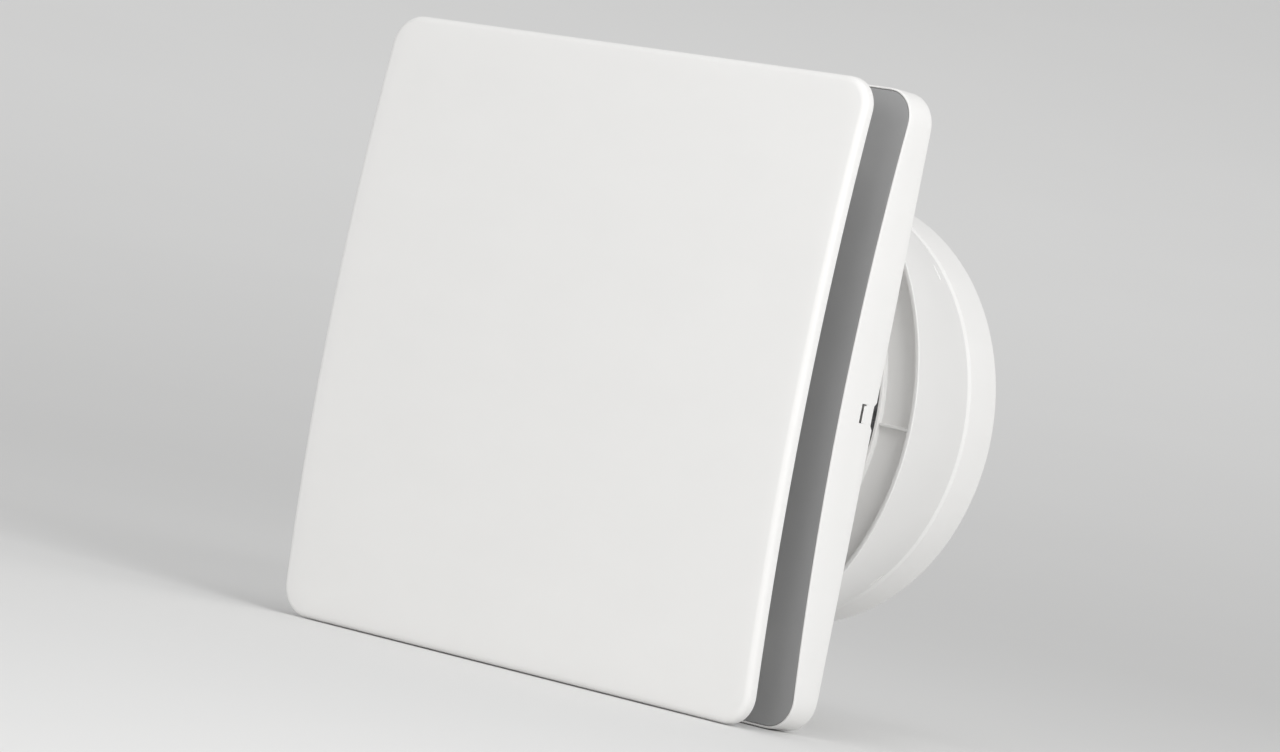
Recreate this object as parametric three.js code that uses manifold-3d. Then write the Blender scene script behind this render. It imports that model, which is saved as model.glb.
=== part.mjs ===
// Window exhaust fan: a square housing with a stand-off front panel on the room side of a pane, and a
// round collar with a duct spigot on the outer side, slid over the housing's neck.
// Millimetres, +Z up. The origin is on the duct axis, in the plane of the housing's rear face. The duct
// axis is Y: the room is towards -Y and the outside is towards +Y. +X is to the right, seen from the room.

import * as THREE from "three";
import { mergeVertices } from "three/addons/utils/BufferGeometryUtils.js";
import Module from "manifold-3d";

// ---- Driving dimensions ----

const CLEAR = 0.3; // gap between pieces that touch
const OVER = 2; // how far a cutter runs past the face that it cuts

const NECK_R = 71; // outside of the neck that goes through the pane
const BORDER = 31; // from the neck to the sides of the housing and the front panel

// front panel
const PANEL_SIDE = 2 * (NECK_R + BORDER);
const PANEL_CORNER_R = 10.3;
const PANEL_EDGE = 4.4;
const PANEL_SKIN = 2.4;
const PANEL_WALL = 2.2;
const PANEL_RISE = 5.2; // the middle bulges this far ahead of the top and bottom edges
const PANEL_EDGE_R = 1.2; // chamfer round the front edge
const PEG_R = 4;
const PEG_FROM_CORNER = 24; // from the panel's sides to the peg's axis
const PEG_FOOT_GAP = 0.8; // from the peg's end to the base plate

// housing
const AIR_GAP = 19.15; // between the housing's front and the panel's back, at the top and bottom edges
const FRAME_SIDE = PANEL_SIDE;
const FRAME_CORNER_R = 11;
const FRAME_WALL = 2.2;
const FRAME_LIP = 0.7; // wall left outside the intake plate
const FRAME_DEPTH = 10.45; // at the top and bottom edges
const FRAME_RISE = 6.75; // extra depth at mid height
const LEDGE_WIDTH = 2;
const LEDGE_THICK = 1.5;
const PLATE_RECESS = 0.15;
const PLATE_THICK = 1.8;
const SOCKET_WALL = 1.5;
const BASE_THICK = 2.2;

// latches in the left and right walls
const LATCH_BACK = 3.8; // from the housing's rear face to the slot
const LATCH_SLOT_DEPTH = 3.6;
const LATCH_SLOT_BELOW = 2.8;
const LATCH_SLOT_ABOVE = 3.3;
const TOOTH_BELOW = 2.4;
const TOOTH_ABOVE = 2.4;
const TOOTH_DEPTH = 2;
const TOOTH_REACH = 2.1;
const TOOTH_RAMP = 0.4; // how far the tooth falls away towards its front
const TONGUE_THICK = 1.6;
const NOTCH_HALF = 4.3;
const NOTCH_SLOPE = 1.2; // length of each sloped end
const NOTCH_DEPTH = 1;

// inlet and neck
const NECK_WALL = 2;
const NECK_AHEAD = 5.5; // neck's length ahead of the housing's rear face
const NECK_LENGTH = 54; // neck's length behind it
const BELL_R = 7;
const BELL_THICK = 1.8;
const BELL_LIP = 3;

// rear gasket
const GASKET_THICK = 3;
const GASKET_WIDTH = 14;

// motor bracket
const BRACKET_THICK = 4;
const RING_WIDTH = 5;
const ARM_WIDTH = 7;
const ARM_DEPTH = 6.8;
const CUP_SPACE = 3; // from the motor's case to the cup's outside
const CUP_THICK = 2;
const CUP_RIM = 1.6;
const EAR_FROM_NECK = 14; // from the neck's outside to the axis of each ear
const EAR_R = 4.4;

// motor
const MOTOR_R = 30;
const MOTOR_WALL = 1.6;
const MOTOR_LENGTH = 35;
const STATOR_LENGTH = 14;
const STATOR_BORE_R = 16.4;
const COIL_FROM_CASE = 3.5;
const COIL_FROM_BORE = 1.6;
const COIL_BAR_INSET = 2; // of the bars in the core's slots, from the winding's inside and outside
const COIL_OVERHANG = 4.5;
const COIL_SLOTS = 6;
const COIL_SLOT_WIDTH = 5;
const ROTOR_GAP = 0.5;
const SHAFT_R = 3;
const SHAFT_RUNNING_GAP = 0.06;
const BEARING_R = 8;
const BEARING_WIDTH = 5;
const BEARING_HOLDER = 1.6;
const MOTOR_SCREW_FROM_EDGE = 6;

// impeller
const TIP_GAP = 1.2;
const HUB_SPACE = 5; // from the cup's outside to the hub's outside
const HUB_WALL = 2.4;
const HUB_FRONT = 6; // from the housing's rear face
const HUB_LENGTH = 30;
const HUB_BOSS_R = 6.5;
const HUB_ROUND_R = 4;
const BLADES = 7;
const BLADE_TURN = 5; // degrees from the hub's first facet to the first blade
const BLADE_MIDDLE = 13.5; // from the hub's front to the blade's middle
const BLADE_ROOT_CHORD = 26;
const BLADE_TIP_CHORD = 44;
const BLADE_ROOT_PITCH = 46; // degrees between the chord and the plane of rotation
const BLADE_TIP_PITCH = 26;
const BLADE_THICK = 2.2;
const BLADE_CAMBER = 0.07; // share of the chord
const NUT_R = 5.6;
const NUT_THICK = 4;
const SHAFT_BEYOND_NUT = 2;

// rear collar
const RIM_FROM_WALL = 33.2; // from the housing's rear face to the collar's rim
const CONE_FLARE = 17.9; // how much wider the rim is than the spigot, in radius
const COLLAR_WALL = 1.6;
const CONE_LENGTH = 52.3;
const SPIGOT_LENGTH = 15;
const SPIGOT_STEP = 0.6; // how far the cone's end stands in from the spigot
const STEP_LENGTH = 0.9; // of the sloped shoulder up to the spigot
const SEAL_SPACE = 3.4; // between the neck and the sleeve, where the seal lies
const SLEEVE_WALL = 1.2;
const SLEEVE_BACK = 2.8; // from the rim back to the sleeve's face
const SLEEVE_LENGTH = 14;
const WEB_FROM_SLEEVE = 1.9; // from the sleeve's face back to the web that carries it
const WEB_THICK = 1.8;
const RIB_THICK = 1;
const RIB_OUTER_BACK = 0.4; // from the rim back to the rib's front edge, at the cone
const RIB_INNER_BACK = 3.6; // and at the sleeve
const RIB_TURN = 1.3; // degrees that the ribs stand off the middle lines
const RIBS = 4;
const MARK_ARC = 5; // degrees round the cone
const MARK_WIDTH = 1.8;
const MARK_DEPTH = 0.5;
const UPPER_MARK_ANGLE = 42; // degrees up from the horizontal
const UPPER_MARK_TO_STEP = 9;
const LOWER_MARK_ANGLE = 44.5; // degrees down from the horizontal
const LOWER_MARK_TO_STEP = 3.6;
const SEAL_LENGTH = 8;
const SEAL_BACK = 0.8;

// backdraught flaps
const PIN_R = 1.5;
const PIN_FROM_END = 10; // from the spigot's end to the pin
const KNUCKLE_R = 3;
const KNUCKLE_LENGTH = 18;
const KNUCKLE_NEAR = 12; // from mid height to each flap's nearer knuckle
const KNUCKLE_FAR = 32;
const FLAP_THICK = 1.4;
const FLAP_GAP = 1;
const FLAP_INNER_EDGE = 3.7;
const FLAP_NOTCH_X = 10;
const FLAP_NOTCH_Z = 11.2;
const PIN_BOSS_R = 3.4;
const PIN_BOSS_LENGTH = 4;
const SEAT_WIDTH = 2.6;
const SEAT_THICK = 1.8;
const MULLION_HALF = 5.5;
const MULLION_THICK = 1.4;
const SPRING_WIRE = 0.8;
const SPRING_PITCH = 1.35;
const SPRING_CURLS = 5;
const SPRING_R = 2.5;
const SPRING_LEG = 12;
const SPRING_FROM_MIDDLE = 2.6;

// screws
const SCREW_R = 1.5;
const SCREW_HEAD_R = 3;
const SCREW_HEAD = 1.8;
const SCREW_ROUND = 10;
const SMALL_SCREW_R = 1.2;
const SMALL_SCREW_HEAD_R = 2.2;
const BOSS_R = 4;
const PLATE_SCREW_FROM_SIDE = 32;
const PLATE_SCREW_FROM_EDGE = 14;
const WALL_HOLE_R = 2.3;
const WALL_HOLE_FROM_SIDE = 52;
const WALL_HOLE_FROM_EDGE = 12;

// terminals, in the left side of the housing
const BOX_WIDTH = 14;
const BOX_TOP_Z = -10;
const BOX_LENGTH = 28;
const BOX_DEPTH = 9;
const BOX_WALL = 1.2;
const COVER_THICK = 1;
const BLOCK_WIDTH = 9;
const BLOCK_LENGTH = 19;
const BLOCK_DEPTH = 8;
const BLOCK_FROM_WALL = 2.4;
const TERMINALS = 2;
const INLET_FROM_BOTTOM = 42;
const INLET_FROM_BACK = 7.2;
const INLET_HOLE_R = 4;
const INLET_BORE_R = 2.6;
const GROMMET_FLANGE = 1.4;
const GROMMET_LIP = 0.8;
const CLAMP_X_FROM_SIDE = 13.5;
const CLAMP_WIDTH = 6;
const CLAMP_SCREW_SPACING = 15;
const CLAMP_THICK = 1.6;
const LEAD_R = 0.9;
const LEAD_SPACING = 2.2;
const LEAD_GROOVE = 5;
const LEAD_TURN = 8; // how far a lead runs on beyond a bend
const LEAD_TAIL = 4; // straight end below the terminal block
const LEAD_DROP = 9; // how far below the block a lead turns towards it

// facets
const BIG_ROUND = 48;
const MOTOR_ROUND = 28;
const SMALL_ROUND = 12;
const CORNER_STEPS = 3; // half the facets of a round corner
const ARCH_STEPS = 12;
const BELL_STEPS = 5;

// ---- Places worked out from the sizes above ----

const HALF_FRAME = FRAME_SIDE / 2;
const INLET_Z = INLET_FROM_BOTTOM - HALF_FRAME;
const SEAT_OFFSET = PLATE_RECESS + PLATE_THICK + CLEAR; // from the housing's front to the ledge
const PANEL_BACK = FRAME_DEPTH + AIR_GAP;
const BRACKET_BACK = -(NECK_AHEAD + CLEAR);
const BRACKET_FRONT = BRACKET_BACK - BRACKET_THICK;
const CUP_BACK = BRACKET_FRONT + CUP_THICK;
const MOTOR_FRONT = CUP_BACK + CLEAR;
const MOTOR_BACK = MOTOR_FRONT + MOTOR_LENGTH;
const MOTOR_MIDDLE = (MOTOR_FRONT + MOTOR_BACK) / 2;
const BELL_BACK = BRACKET_FRONT - CLEAR;
const NECK_BORE_R = NECK_R - NECK_WALL;
const CUP_R = MOTOR_R + CUP_SPACE;
const COIL_OUT_R = MOTOR_R - COIL_FROM_CASE;
const COIL_IN_R = STATOR_BORE_R + COIL_FROM_BORE;
const HUB_R = CUP_R + HUB_SPACE;
const FLANGE_R = NECK_BORE_R + RING_WIDTH;
const EAR_FROM_AXIS = NECK_R + EAR_FROM_NECK;
const HUB_BACK = HUB_FRONT + HUB_LENGTH;
const NUT_FRONT = HUB_BACK + CLEAR;
const SHAFT_BACK = NUT_FRONT + NUT_THICK + SHAFT_BEYOND_NUT;
const FRONT_BEARING_Y = MOTOR_FRONT + MOTOR_WALL + CLEAR;
const REAR_BEARING_Y = MOTOR_BACK - MOTOR_WALL - CLEAR - BEARING_WIDTH;
const SHAFT_FRONT = FRONT_BEARING_Y;
const SLEEVE_BORE_R = NECK_R + SEAL_SPACE;
const SPIGOT_R = SLEEVE_BORE_R - SPIGOT_STEP;
const RIM_R = SPIGOT_R + CONE_FLARE;
const STEP_Y = RIM_FROM_WALL + CONE_LENGTH;
const COLLAR_BACK = STEP_Y + SPIGOT_LENGTH;
const SPIGOT_BORE_R = SPIGOT_R - COLLAR_WALL;
const CONE_SLOPE = (RIM_R - (SPIGOT_R - SPIGOT_STEP)) / CONE_LENGTH;
const PIN_Y = COLLAR_BACK - PIN_FROM_END;
const FLAP_R = SPIGOT_BORE_R - FLAP_GAP;
const PEG_PLACE = PANEL_SIDE / 2 - PEG_FROM_CORNER;
const BOX_LEFT = -HALF_FRAME + FRAME_WALL + LEDGE_WIDTH + CLEAR;
const BOX_RIGHT = BOX_LEFT + BOX_WIDTH;
const BOX_BOTTOM_Z = BOX_TOP_Z - BOX_LENGTH;
const BOX_FRONT = -(BASE_THICK + BOX_DEPTH);
const CLAMP_X = -HALF_FRAME + CLAMP_X_FROM_SIDE;

// ---- Joining and cutting solids ----

const wasm = await Module();
wasm.setup();

function solidOf(geometry) {
  const bare = geometry.index ? geometry.toNonIndexed() : geometry.clone();
  bare.deleteAttribute("normal");
  bare.deleteAttribute("uv");
  const merged = mergeVertices(bare, 1e-4);
  const corners = merged.index.array;
  const kept = [];
  for (let i = 0; i < corners.length; i += 3) {
    const [a, b, c] = [corners[i], corners[i + 1], corners[i + 2]];
    if (a !== b && b !== c && c !== a) kept.push(a, b, c);
  }
  const vertProperties = new Float32Array(merged.attributes.position.array);
  const triVerts = new Uint32Array(kept);
  return new wasm.Manifold(new wasm.Mesh({ numProp: 3, vertProperties, triVerts }));
}

function geometryOf(solid) {
  const mesh = solid.getMesh();
  const points = new Float32Array(mesh.numVert * 3);
  for (let i = 0; i < mesh.numVert; i++) {
    points.set(mesh.vertProperties.subarray(i * mesh.numProp, i * mesh.numProp + 3), i * 3);
  }
  const geometry = new THREE.BufferGeometry();
  geometry.setAttribute("position", new THREE.BufferAttribute(points, 3));
  geometry.setIndex(new THREE.BufferAttribute(mesh.triVerts, 1));
  geometry.computeVertexNormals();
  return geometry;
}

const join = (...solids) => solids.reduce((sum, solid) => sum.add(solid));
const cut = (solid, ...tools) => tools.reduce((rest, tool) => rest.subtract(tool), solid);

// ---- Basic shapes, as solids ----

// A square outline with round corners, in the XZ plane.
function squareOutline(side, radius) {
  const half = side / 2;
  const inner = half - radius;
  const shape = new THREE.Shape();
  shape.absarc(inner, inner, radius, 0, Math.PI / 2);
  shape.absarc(-inner, inner, radius, Math.PI / 2, Math.PI);
  shape.absarc(-inner, -inner, radius, Math.PI, Math.PI * 1.5);
  shape.absarc(inner, -inner, radius, Math.PI * 1.5, Math.PI * 2);
  shape.closePath();
  return shape;
}

// An outline in the XZ plane, carried along Y from its front to its back.
function alongY(shape, front, back, curveSegments = CORNER_STEPS) {
  const geometry = new THREE.ExtrudeGeometry(shape, {
    depth: back - front,
    bevelEnabled: false,
    curveSegments,
  });
  return solidOf(geometry.rotateX(Math.PI / 2).translate(0, back, 0));
}

const squareBlock = (side, radius, front, back) => alongY(squareOutline(side, radius), front, back);

// A box from its lowest to its highest corner.
function box(x0, y0, z0, x1, y1, z1) {
  const geometry = new THREE.BoxGeometry(x1 - x0, y1 - y0, z1 - z0);
  return solidOf(geometry.translate((x0 + x1) / 2, (y0 + y1) / 2, (z0 + z1) / 2));
}

// A round bar along Y, centred at (x, z).
function barY(radius, front, back, x = 0, z = 0, sides = SMALL_ROUND) {
  const geometry = new THREE.CylinderGeometry(radius, radius, back - front, sides);
  return solidOf(geometry.translate(x, (front + back) / 2, z));
}

// A round bar along Z, centred at (x, y).
function barZ(radius, low, high, x, y, sides = SMALL_ROUND) {
  const geometry = new THREE.CylinderGeometry(radius, radius, high - low, sides);
  return solidOf(geometry.rotateX(Math.PI / 2).translate(x, y, (low + high) / 2));
}

// A profile of [radius, y] points, turned about the Y axis.
function turned(profile, sides = BIG_ROUND) {
  const points = profile.map(([radius, y]) => new THREE.Vector2(radius, y));
  if (THREE.ShapeUtils.area(points) < 0) points.reverse();
  return solidOf(new THREE.LatheGeometry([...points, points[0]], sides));
}

const ringY = (inner, outer, front, back, sides = BIG_ROUND) =>
  turned([[inner, front], [outer, front], [outer, back], [inner, back]], sides);

// An outline of [y, z] points, carried along X from one side to the other.
function alongX(outline, left, right) {
  const shape = new THREE.Shape(outline.map(([y, z]) => new THREE.Vector2(y, z)));
  const geometry = new THREE.ExtrudeGeometry(shape, { depth: right - left, bevelEnabled: false });
  const axes = new THREE.Matrix4().makeBasis(
    new THREE.Vector3(0, 1, 0),
    new THREE.Vector3(0, 0, 1),
    new THREE.Vector3(1, 0, 0),
  );
  return solidOf(geometry.applyMatrix4(axes).translate(left, 0, 0));
}

// An outline of [x, y] points, carried up along Z.
function alongZ(outline, low, high) {
  const shape = new THREE.Shape(outline.map(([x, y]) => new THREE.Vector2(x, y)));
  const geometry = new THREE.ExtrudeGeometry(shape, { depth: high - low, bevelEnabled: false });
  return solidOf(geometry.translate(0, 0, low));
}

// Height of the arch over its ends: a parabola that is 0 at the top and bottom edges and `rise` between.
const arch = (z, rise, half) => rise * (1 - (z / half) ** 2);

// The space between two surfaces y(z), across the whole width of the housing.
function between(frontOf, backOf, half = HALF_FRAME) {
  const reach = half + OVER;
  const heights = Array.from({ length: ARCH_STEPS + 1 }, (_, i) => reach * ((2 * i) / ARCH_STEPS - 1));
  const front = heights.map((z) => [frontOf(z), z]);
  const back = heights.reverse().map((z) => [backOf(z), z]);
  return alongX([...front, ...back], -reach, reach);
}

const housingFront = (z) => -(FRAME_DEPTH + arch(z, FRAME_RISE, HALF_FRAME));
const panelFront = (z) => -(PANEL_BACK + PANEL_EDGE + arch(z, PANEL_RISE, PANEL_SIDE / 2));
const behind = (surface, distance) => (z) => surface(z) + distance;
const flat = (y) => () => y;

const diagonals = [45, 135, 225, 315].map((degrees) => THREE.MathUtils.degToRad(degrees));
const onCircle = (radius, angle) => [radius * Math.cos(angle), radius * Math.sin(angle)];
const corners = [[1, 1], [-1, 1], [-1, -1], [1, -1]];

// ---- The front panel ----

function frontPanel() {
  const edge = squareBlock(PANEL_SIDE, PANEL_CORNER_R, -PANEL_BACK * 2, 0);
  const faced = squareBlock(
    PANEL_SIDE - 2 * PANEL_EDGE_R,
    PANEL_CORNER_R - PANEL_EDGE_R,
    -PANEL_BACK * 2,
    0,
  );
  const back = behind(panelFront, PANEL_EDGE);
  const body = edge.intersect(between(behind(panelFront, PANEL_EDGE_R), back));
  const face = faced.intersect(between(panelFront, behind(panelFront, PANEL_SKIN / 2 + PANEL_EDGE_R)));
  const hollow = squareBlock(
    PANEL_SIDE - 2 * PANEL_WALL,
    PANEL_CORNER_R - PANEL_WALL,
    -PANEL_BACK * 2,
    0,
  ).intersect(between(behind(panelFront, PANEL_SKIN), behind(back, OVER)));
  const pegEnd = -(BASE_THICK + PEG_FOOT_GAP);
  const pegs = corners.map(([sx, sz]) =>
    barY(PEG_R, panelFront(PEG_PLACE) + PANEL_SKIN / 2, pegEnd, sx * PEG_PLACE, sz * PEG_PLACE),
  );
  return join(cut(join(body, face), hollow), ...pegs);
}

// ---- The housing ----

function frontFrame() {
  const outer = squareBlock(FRAME_SIDE, FRAME_CORNER_R, -HALF_FRAME, 0);
  const shell = outer.intersect(between(housingFront, flat(0)));
  const rebate = squareBlock(
    FRAME_SIDE - 2 * FRAME_LIP,
    FRAME_CORNER_R - FRAME_LIP,
    -HALF_FRAME,
    0,
  ).intersect(between(behind(housingFront, -OVER), behind(housingFront, SEAT_OFFSET)));
  const ledgeInset = FRAME_WALL + LEDGE_WIDTH;
  const way = squareBlock(
    FRAME_SIDE - 2 * ledgeInset,
    FRAME_CORNER_R - ledgeInset,
    -HALF_FRAME,
    OVER,
  );
  const inside = squareBlock(
    FRAME_SIDE - 2 * FRAME_WALL,
    FRAME_CORNER_R - FRAME_WALL,
    -HALF_FRAME,
    OVER,
  ).intersect(between(behind(housingFront, SEAT_OFFSET + LEDGE_THICK), flat(OVER)));
  const latchSlots = box(
    -FRAME_SIDE,
    -(LATCH_BACK + LATCH_SLOT_DEPTH),
    -LATCH_SLOT_BELOW,
    FRAME_SIDE,
    -LATCH_BACK,
    LATCH_SLOT_ABOVE,
  );
  const floorHalf = NOTCH_HALF - NOTCH_SLOPE;
  const notch = [
    [-NOTCH_DEPTH, -floorHalf],
    [0, -NOTCH_HALF],
    [OVER, -NOTCH_HALF],
    [OVER, NOTCH_HALF],
    [0, NOTCH_HALF],
    [-NOTCH_DEPTH, floorHalf],
  ];
  const notches = alongX(notch, -FRAME_SIDE, FRAME_SIDE);
  const inlet = new THREE.CylinderGeometry(INLET_HOLE_R, INLET_HOLE_R, 4 * FRAME_WALL, SMALL_ROUND);
  inlet.rotateZ(Math.PI / 2).translate(-HALF_FRAME, -INLET_FROM_BACK, INLET_Z);
  const flangeR = INLET_HOLE_R + GROMMET_LIP + CLEAR;
  const reliefWidth = LEDGE_WIDTH + OVER;
  const relief = new THREE.CylinderGeometry(flangeR, flangeR, reliefWidth, SMALL_ROUND);
  relief.rotateZ(Math.PI / 2);
  relief.translate(-HALF_FRAME + FRAME_WALL + reliefWidth / 2, -INLET_FROM_BACK, INLET_Z);
  return cut(shell, rebate, way, inside, latchSlots, notches, solidOf(inlet), solidOf(relief));
}

// The round mouth of the inlet: a quarter-round lip with a skirt outside it.
function bell() {
  const centreR = NECK_BORE_R + BELL_R;
  const inner = BELL_R - BELL_THICK;
  const arc = (radius, from, to, steps) =>
    Array.from({ length: steps + 1 }, (_, i) => {
      const angle = from + ((to - from) * i) / steps;
      return [centreR - radius * Math.cos(angle), BELL_BACK - radius * Math.sin(angle)];
    });
  return turned([
    ...arc(BELL_R, Math.PI / 2, 0, BELL_STEPS),
    ...arc(inner, 0, Math.PI / 2, BELL_STEPS - 2),
    [centreR + BELL_LIP - BELL_THICK, BELL_BACK - inner],
    [centreR + BELL_LIP - BELL_THICK, BELL_BACK],
    [centreR + BELL_LIP, BELL_BACK],
    [centreR + BELL_LIP, BELL_BACK - BELL_R],
  ]);
}

function intakePlate() {
  const inset = FRAME_LIP + CLEAR;
  const front = behind(housingFront, PLATE_RECESS);
  const back = behind(front, PLATE_THICK);
  const outline = squareBlock(FRAME_SIDE - 2 * inset, FRAME_CORNER_R - inset, -HALF_FRAME, 0);
  const plate = outline.intersect(between(front, back));
  const hole = barY(NECK_BORE_R + BELL_R + BELL_LIP / 2, -HALF_FRAME, 0, 0, 0, BIG_ROUND);
  const boreR = PEG_R + CLEAR;
  const sockets = corners.map(([sx, sz]) => {
    const low = -(BASE_THICK + CLEAR);
    const post = barY(boreR + SOCKET_WALL, -HALF_FRAME, low, sx * PEG_PLACE, sz * PEG_PLACE);
    return post.intersect(between(behind(front, PLATE_THICK / 2), flat(0)));
  });
  const bores = corners.map(([sx, sz]) =>
    barY(boreR, -HALF_FRAME, OVER, sx * PEG_PLACE, sz * PEG_PLACE),
  );
  const screwHoles = plateScrewPlaces().map(([x, z]) => barY(SCREW_R + CLEAR, -HALF_FRAME, 0, x, z));
  return cut(join(cut(plate, hole), bell(), ...sockets), ...bores, ...screwHoles);
}

function plateScrewPlaces() {
  const z = HALF_FRAME - PLATE_SCREW_FROM_EDGE;
  return corners.map(([sx, sz]) => [sx * (HALF_FRAME - PLATE_SCREW_FROM_SIDE), sz * z]);
}

// The bosses stop short of the plate's back, at the boss's outer side, where the arch is lowest.
function plateBossFront() {
  const z = HALF_FRAME - PLATE_SCREW_FROM_EDGE + BOSS_R;
  return housingFront(z) + PLATE_RECESS + PLATE_THICK + CLEAR;
}

function clampScrewPlaces() {
  return [-1, 1].map((side) => [CLAMP_X, INLET_Z + (side * CLAMP_SCREW_SPACING) / 2]);
}

function coverScrewPlace() {
  return [(BOX_LEFT + BOX_RIGHT) / 2, BOX_TOP_Z + SMALL_SCREW_HEAD_R + BOX_WALL / 2];
}

// A boss on the base plate, with its pilot hole.
function boss([x, z], radius, front, pilot) {
  const post = barY(radius, front, -BASE_THICK / 2, x, z);
  return cut(post, barY(pilot + CLEAR, front - OVER, -BASE_THICK, x, z));
}

function latchTongue(side) {
  const outer = HALF_FRAME - FRAME_WALL - CLEAR;
  const toothFront = -(LATCH_BACK + TOOTH_DEPTH + CLEAR);
  const tongue = box(
    outer - TONGUE_THICK,
    toothFront - CLEAR,
    -LATCH_SLOT_BELOW,
    outer,
    -BASE_THICK / 2,
    LATCH_SLOT_ABOVE,
  );
  const toothBack = -(LATCH_BACK + CLEAR);
  const top = outer + CLEAR + TOOTH_REACH;
  const wedge = [
    [outer - TONGUE_THICK / 2, toothFront],
    [top - TOOTH_RAMP, toothFront],
    [top, toothBack],
    [outer - TONGUE_THICK / 2, toothBack],
  ];
  const tooth = alongZ(wedge, -TOOTH_BELOW, TOOTH_ABOVE);
  const right = join(tongue, tooth);
  return side > 0 ? right : right.mirror([1, 0, 0]);
}

function terminalBox() {
  const outer = box(BOX_LEFT, BOX_FRONT, BOX_BOTTOM_Z, BOX_RIGHT, -BASE_THICK / 2, BOX_TOP_Z);
  const inner = box(
    BOX_LEFT + BOX_WALL,
    BOX_FRONT - OVER,
    BOX_BOTTOM_Z + BOX_WALL,
    BOX_RIGHT - BOX_WALL,
    -BASE_THICK,
    BOX_TOP_Z - BOX_WALL,
  );
  const wayIn = box(
    BOX_LEFT + BOX_WALL,
    BOX_FRONT - OVER,
    BOX_BOTTOM_Z - OVER,
    BOX_RIGHT - BOX_WALL,
    BRACKET_BACK,
    BOX_BOTTOM_Z + OVER,
  );
  return cut(outer, inner, wayIn);
}

function basePlate() {
  const inset = FRAME_WALL + CLEAR;
  const side = FRAME_SIDE - 2 * inset;
  const plate = squareBlock(side, FRAME_CORNER_R - inset, -BASE_THICK, 0);
  const bore = barY(NECK_R + CLEAR, -HALF_FRAME, OVER, 0, 0, BIG_ROUND);
  const earBosses = diagonals.map((angle) =>
    boss(onCircle(EAR_FROM_AXIS, angle), BOSS_R, -NECK_AHEAD, SCREW_R),
  );
  const plateBosses = plateScrewPlaces().map((place) => boss(place, BOSS_R, plateBossFront(), SCREW_R));
  const clampFront = -(INLET_FROM_BACK - INLET_BORE_R);
  const clampBosses = clampScrewPlaces().map((place) =>
    boss(place, SMALL_SCREW_HEAD_R, clampFront, SMALL_SCREW_R),
  );
  const coverBoss = boss(coverScrewPlace(), SMALL_SCREW_HEAD_R + BOX_WALL, BOX_FRONT, SMALL_SCREW_R);
  const wallHoles = corners.map(([sx, sz]) =>
    barY(
      WALL_HOLE_R,
      -HALF_FRAME,
      OVER,
      sx * (HALF_FRAME - WALL_HOLE_FROM_SIDE),
      sz * (HALF_FRAME - WALL_HOLE_FROM_EDGE),
    ),
  );
  const body = join(
    cut(plate, bore, ...wallHoles),
    ...earBosses,
    ...plateBosses,
    ...clampBosses,
    coverBoss,
    terminalBox(),
  );
  return join(body, latchTongue(1), latchTongue(-1));
}

// The neck goes through the base plate. Its flange lies on the plate's front, under the motor bracket.
const neck = () =>
  turned([
    [NECK_BORE_R, -NECK_AHEAD],
    [FLANGE_R, -NECK_AHEAD],
    [FLANGE_R, -(BASE_THICK + CLEAR)],
    [NECK_R, -(BASE_THICK + CLEAR)],
    [NECK_R, NECK_LENGTH],
    [NECK_BORE_R, NECK_LENGTH],
  ]);

const rearGasket = () =>
  ringY(NECK_R + CLEAR, NECK_R + CLEAR + GASKET_WIDTH, CLEAR, CLEAR + GASKET_THICK);

// ---- The motor bracket ----

const LEAD_ARM = diagonals[2];

// A block that reaches along a diagonal from one radius to another.
function spoke(angle, from, to, width, front, back) {
  return box(from, front, -width / 2, to, back, width / 2).rotate([
    0,
    -THREE.MathUtils.radToDeg(angle),
    0,
  ]);
}

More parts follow.
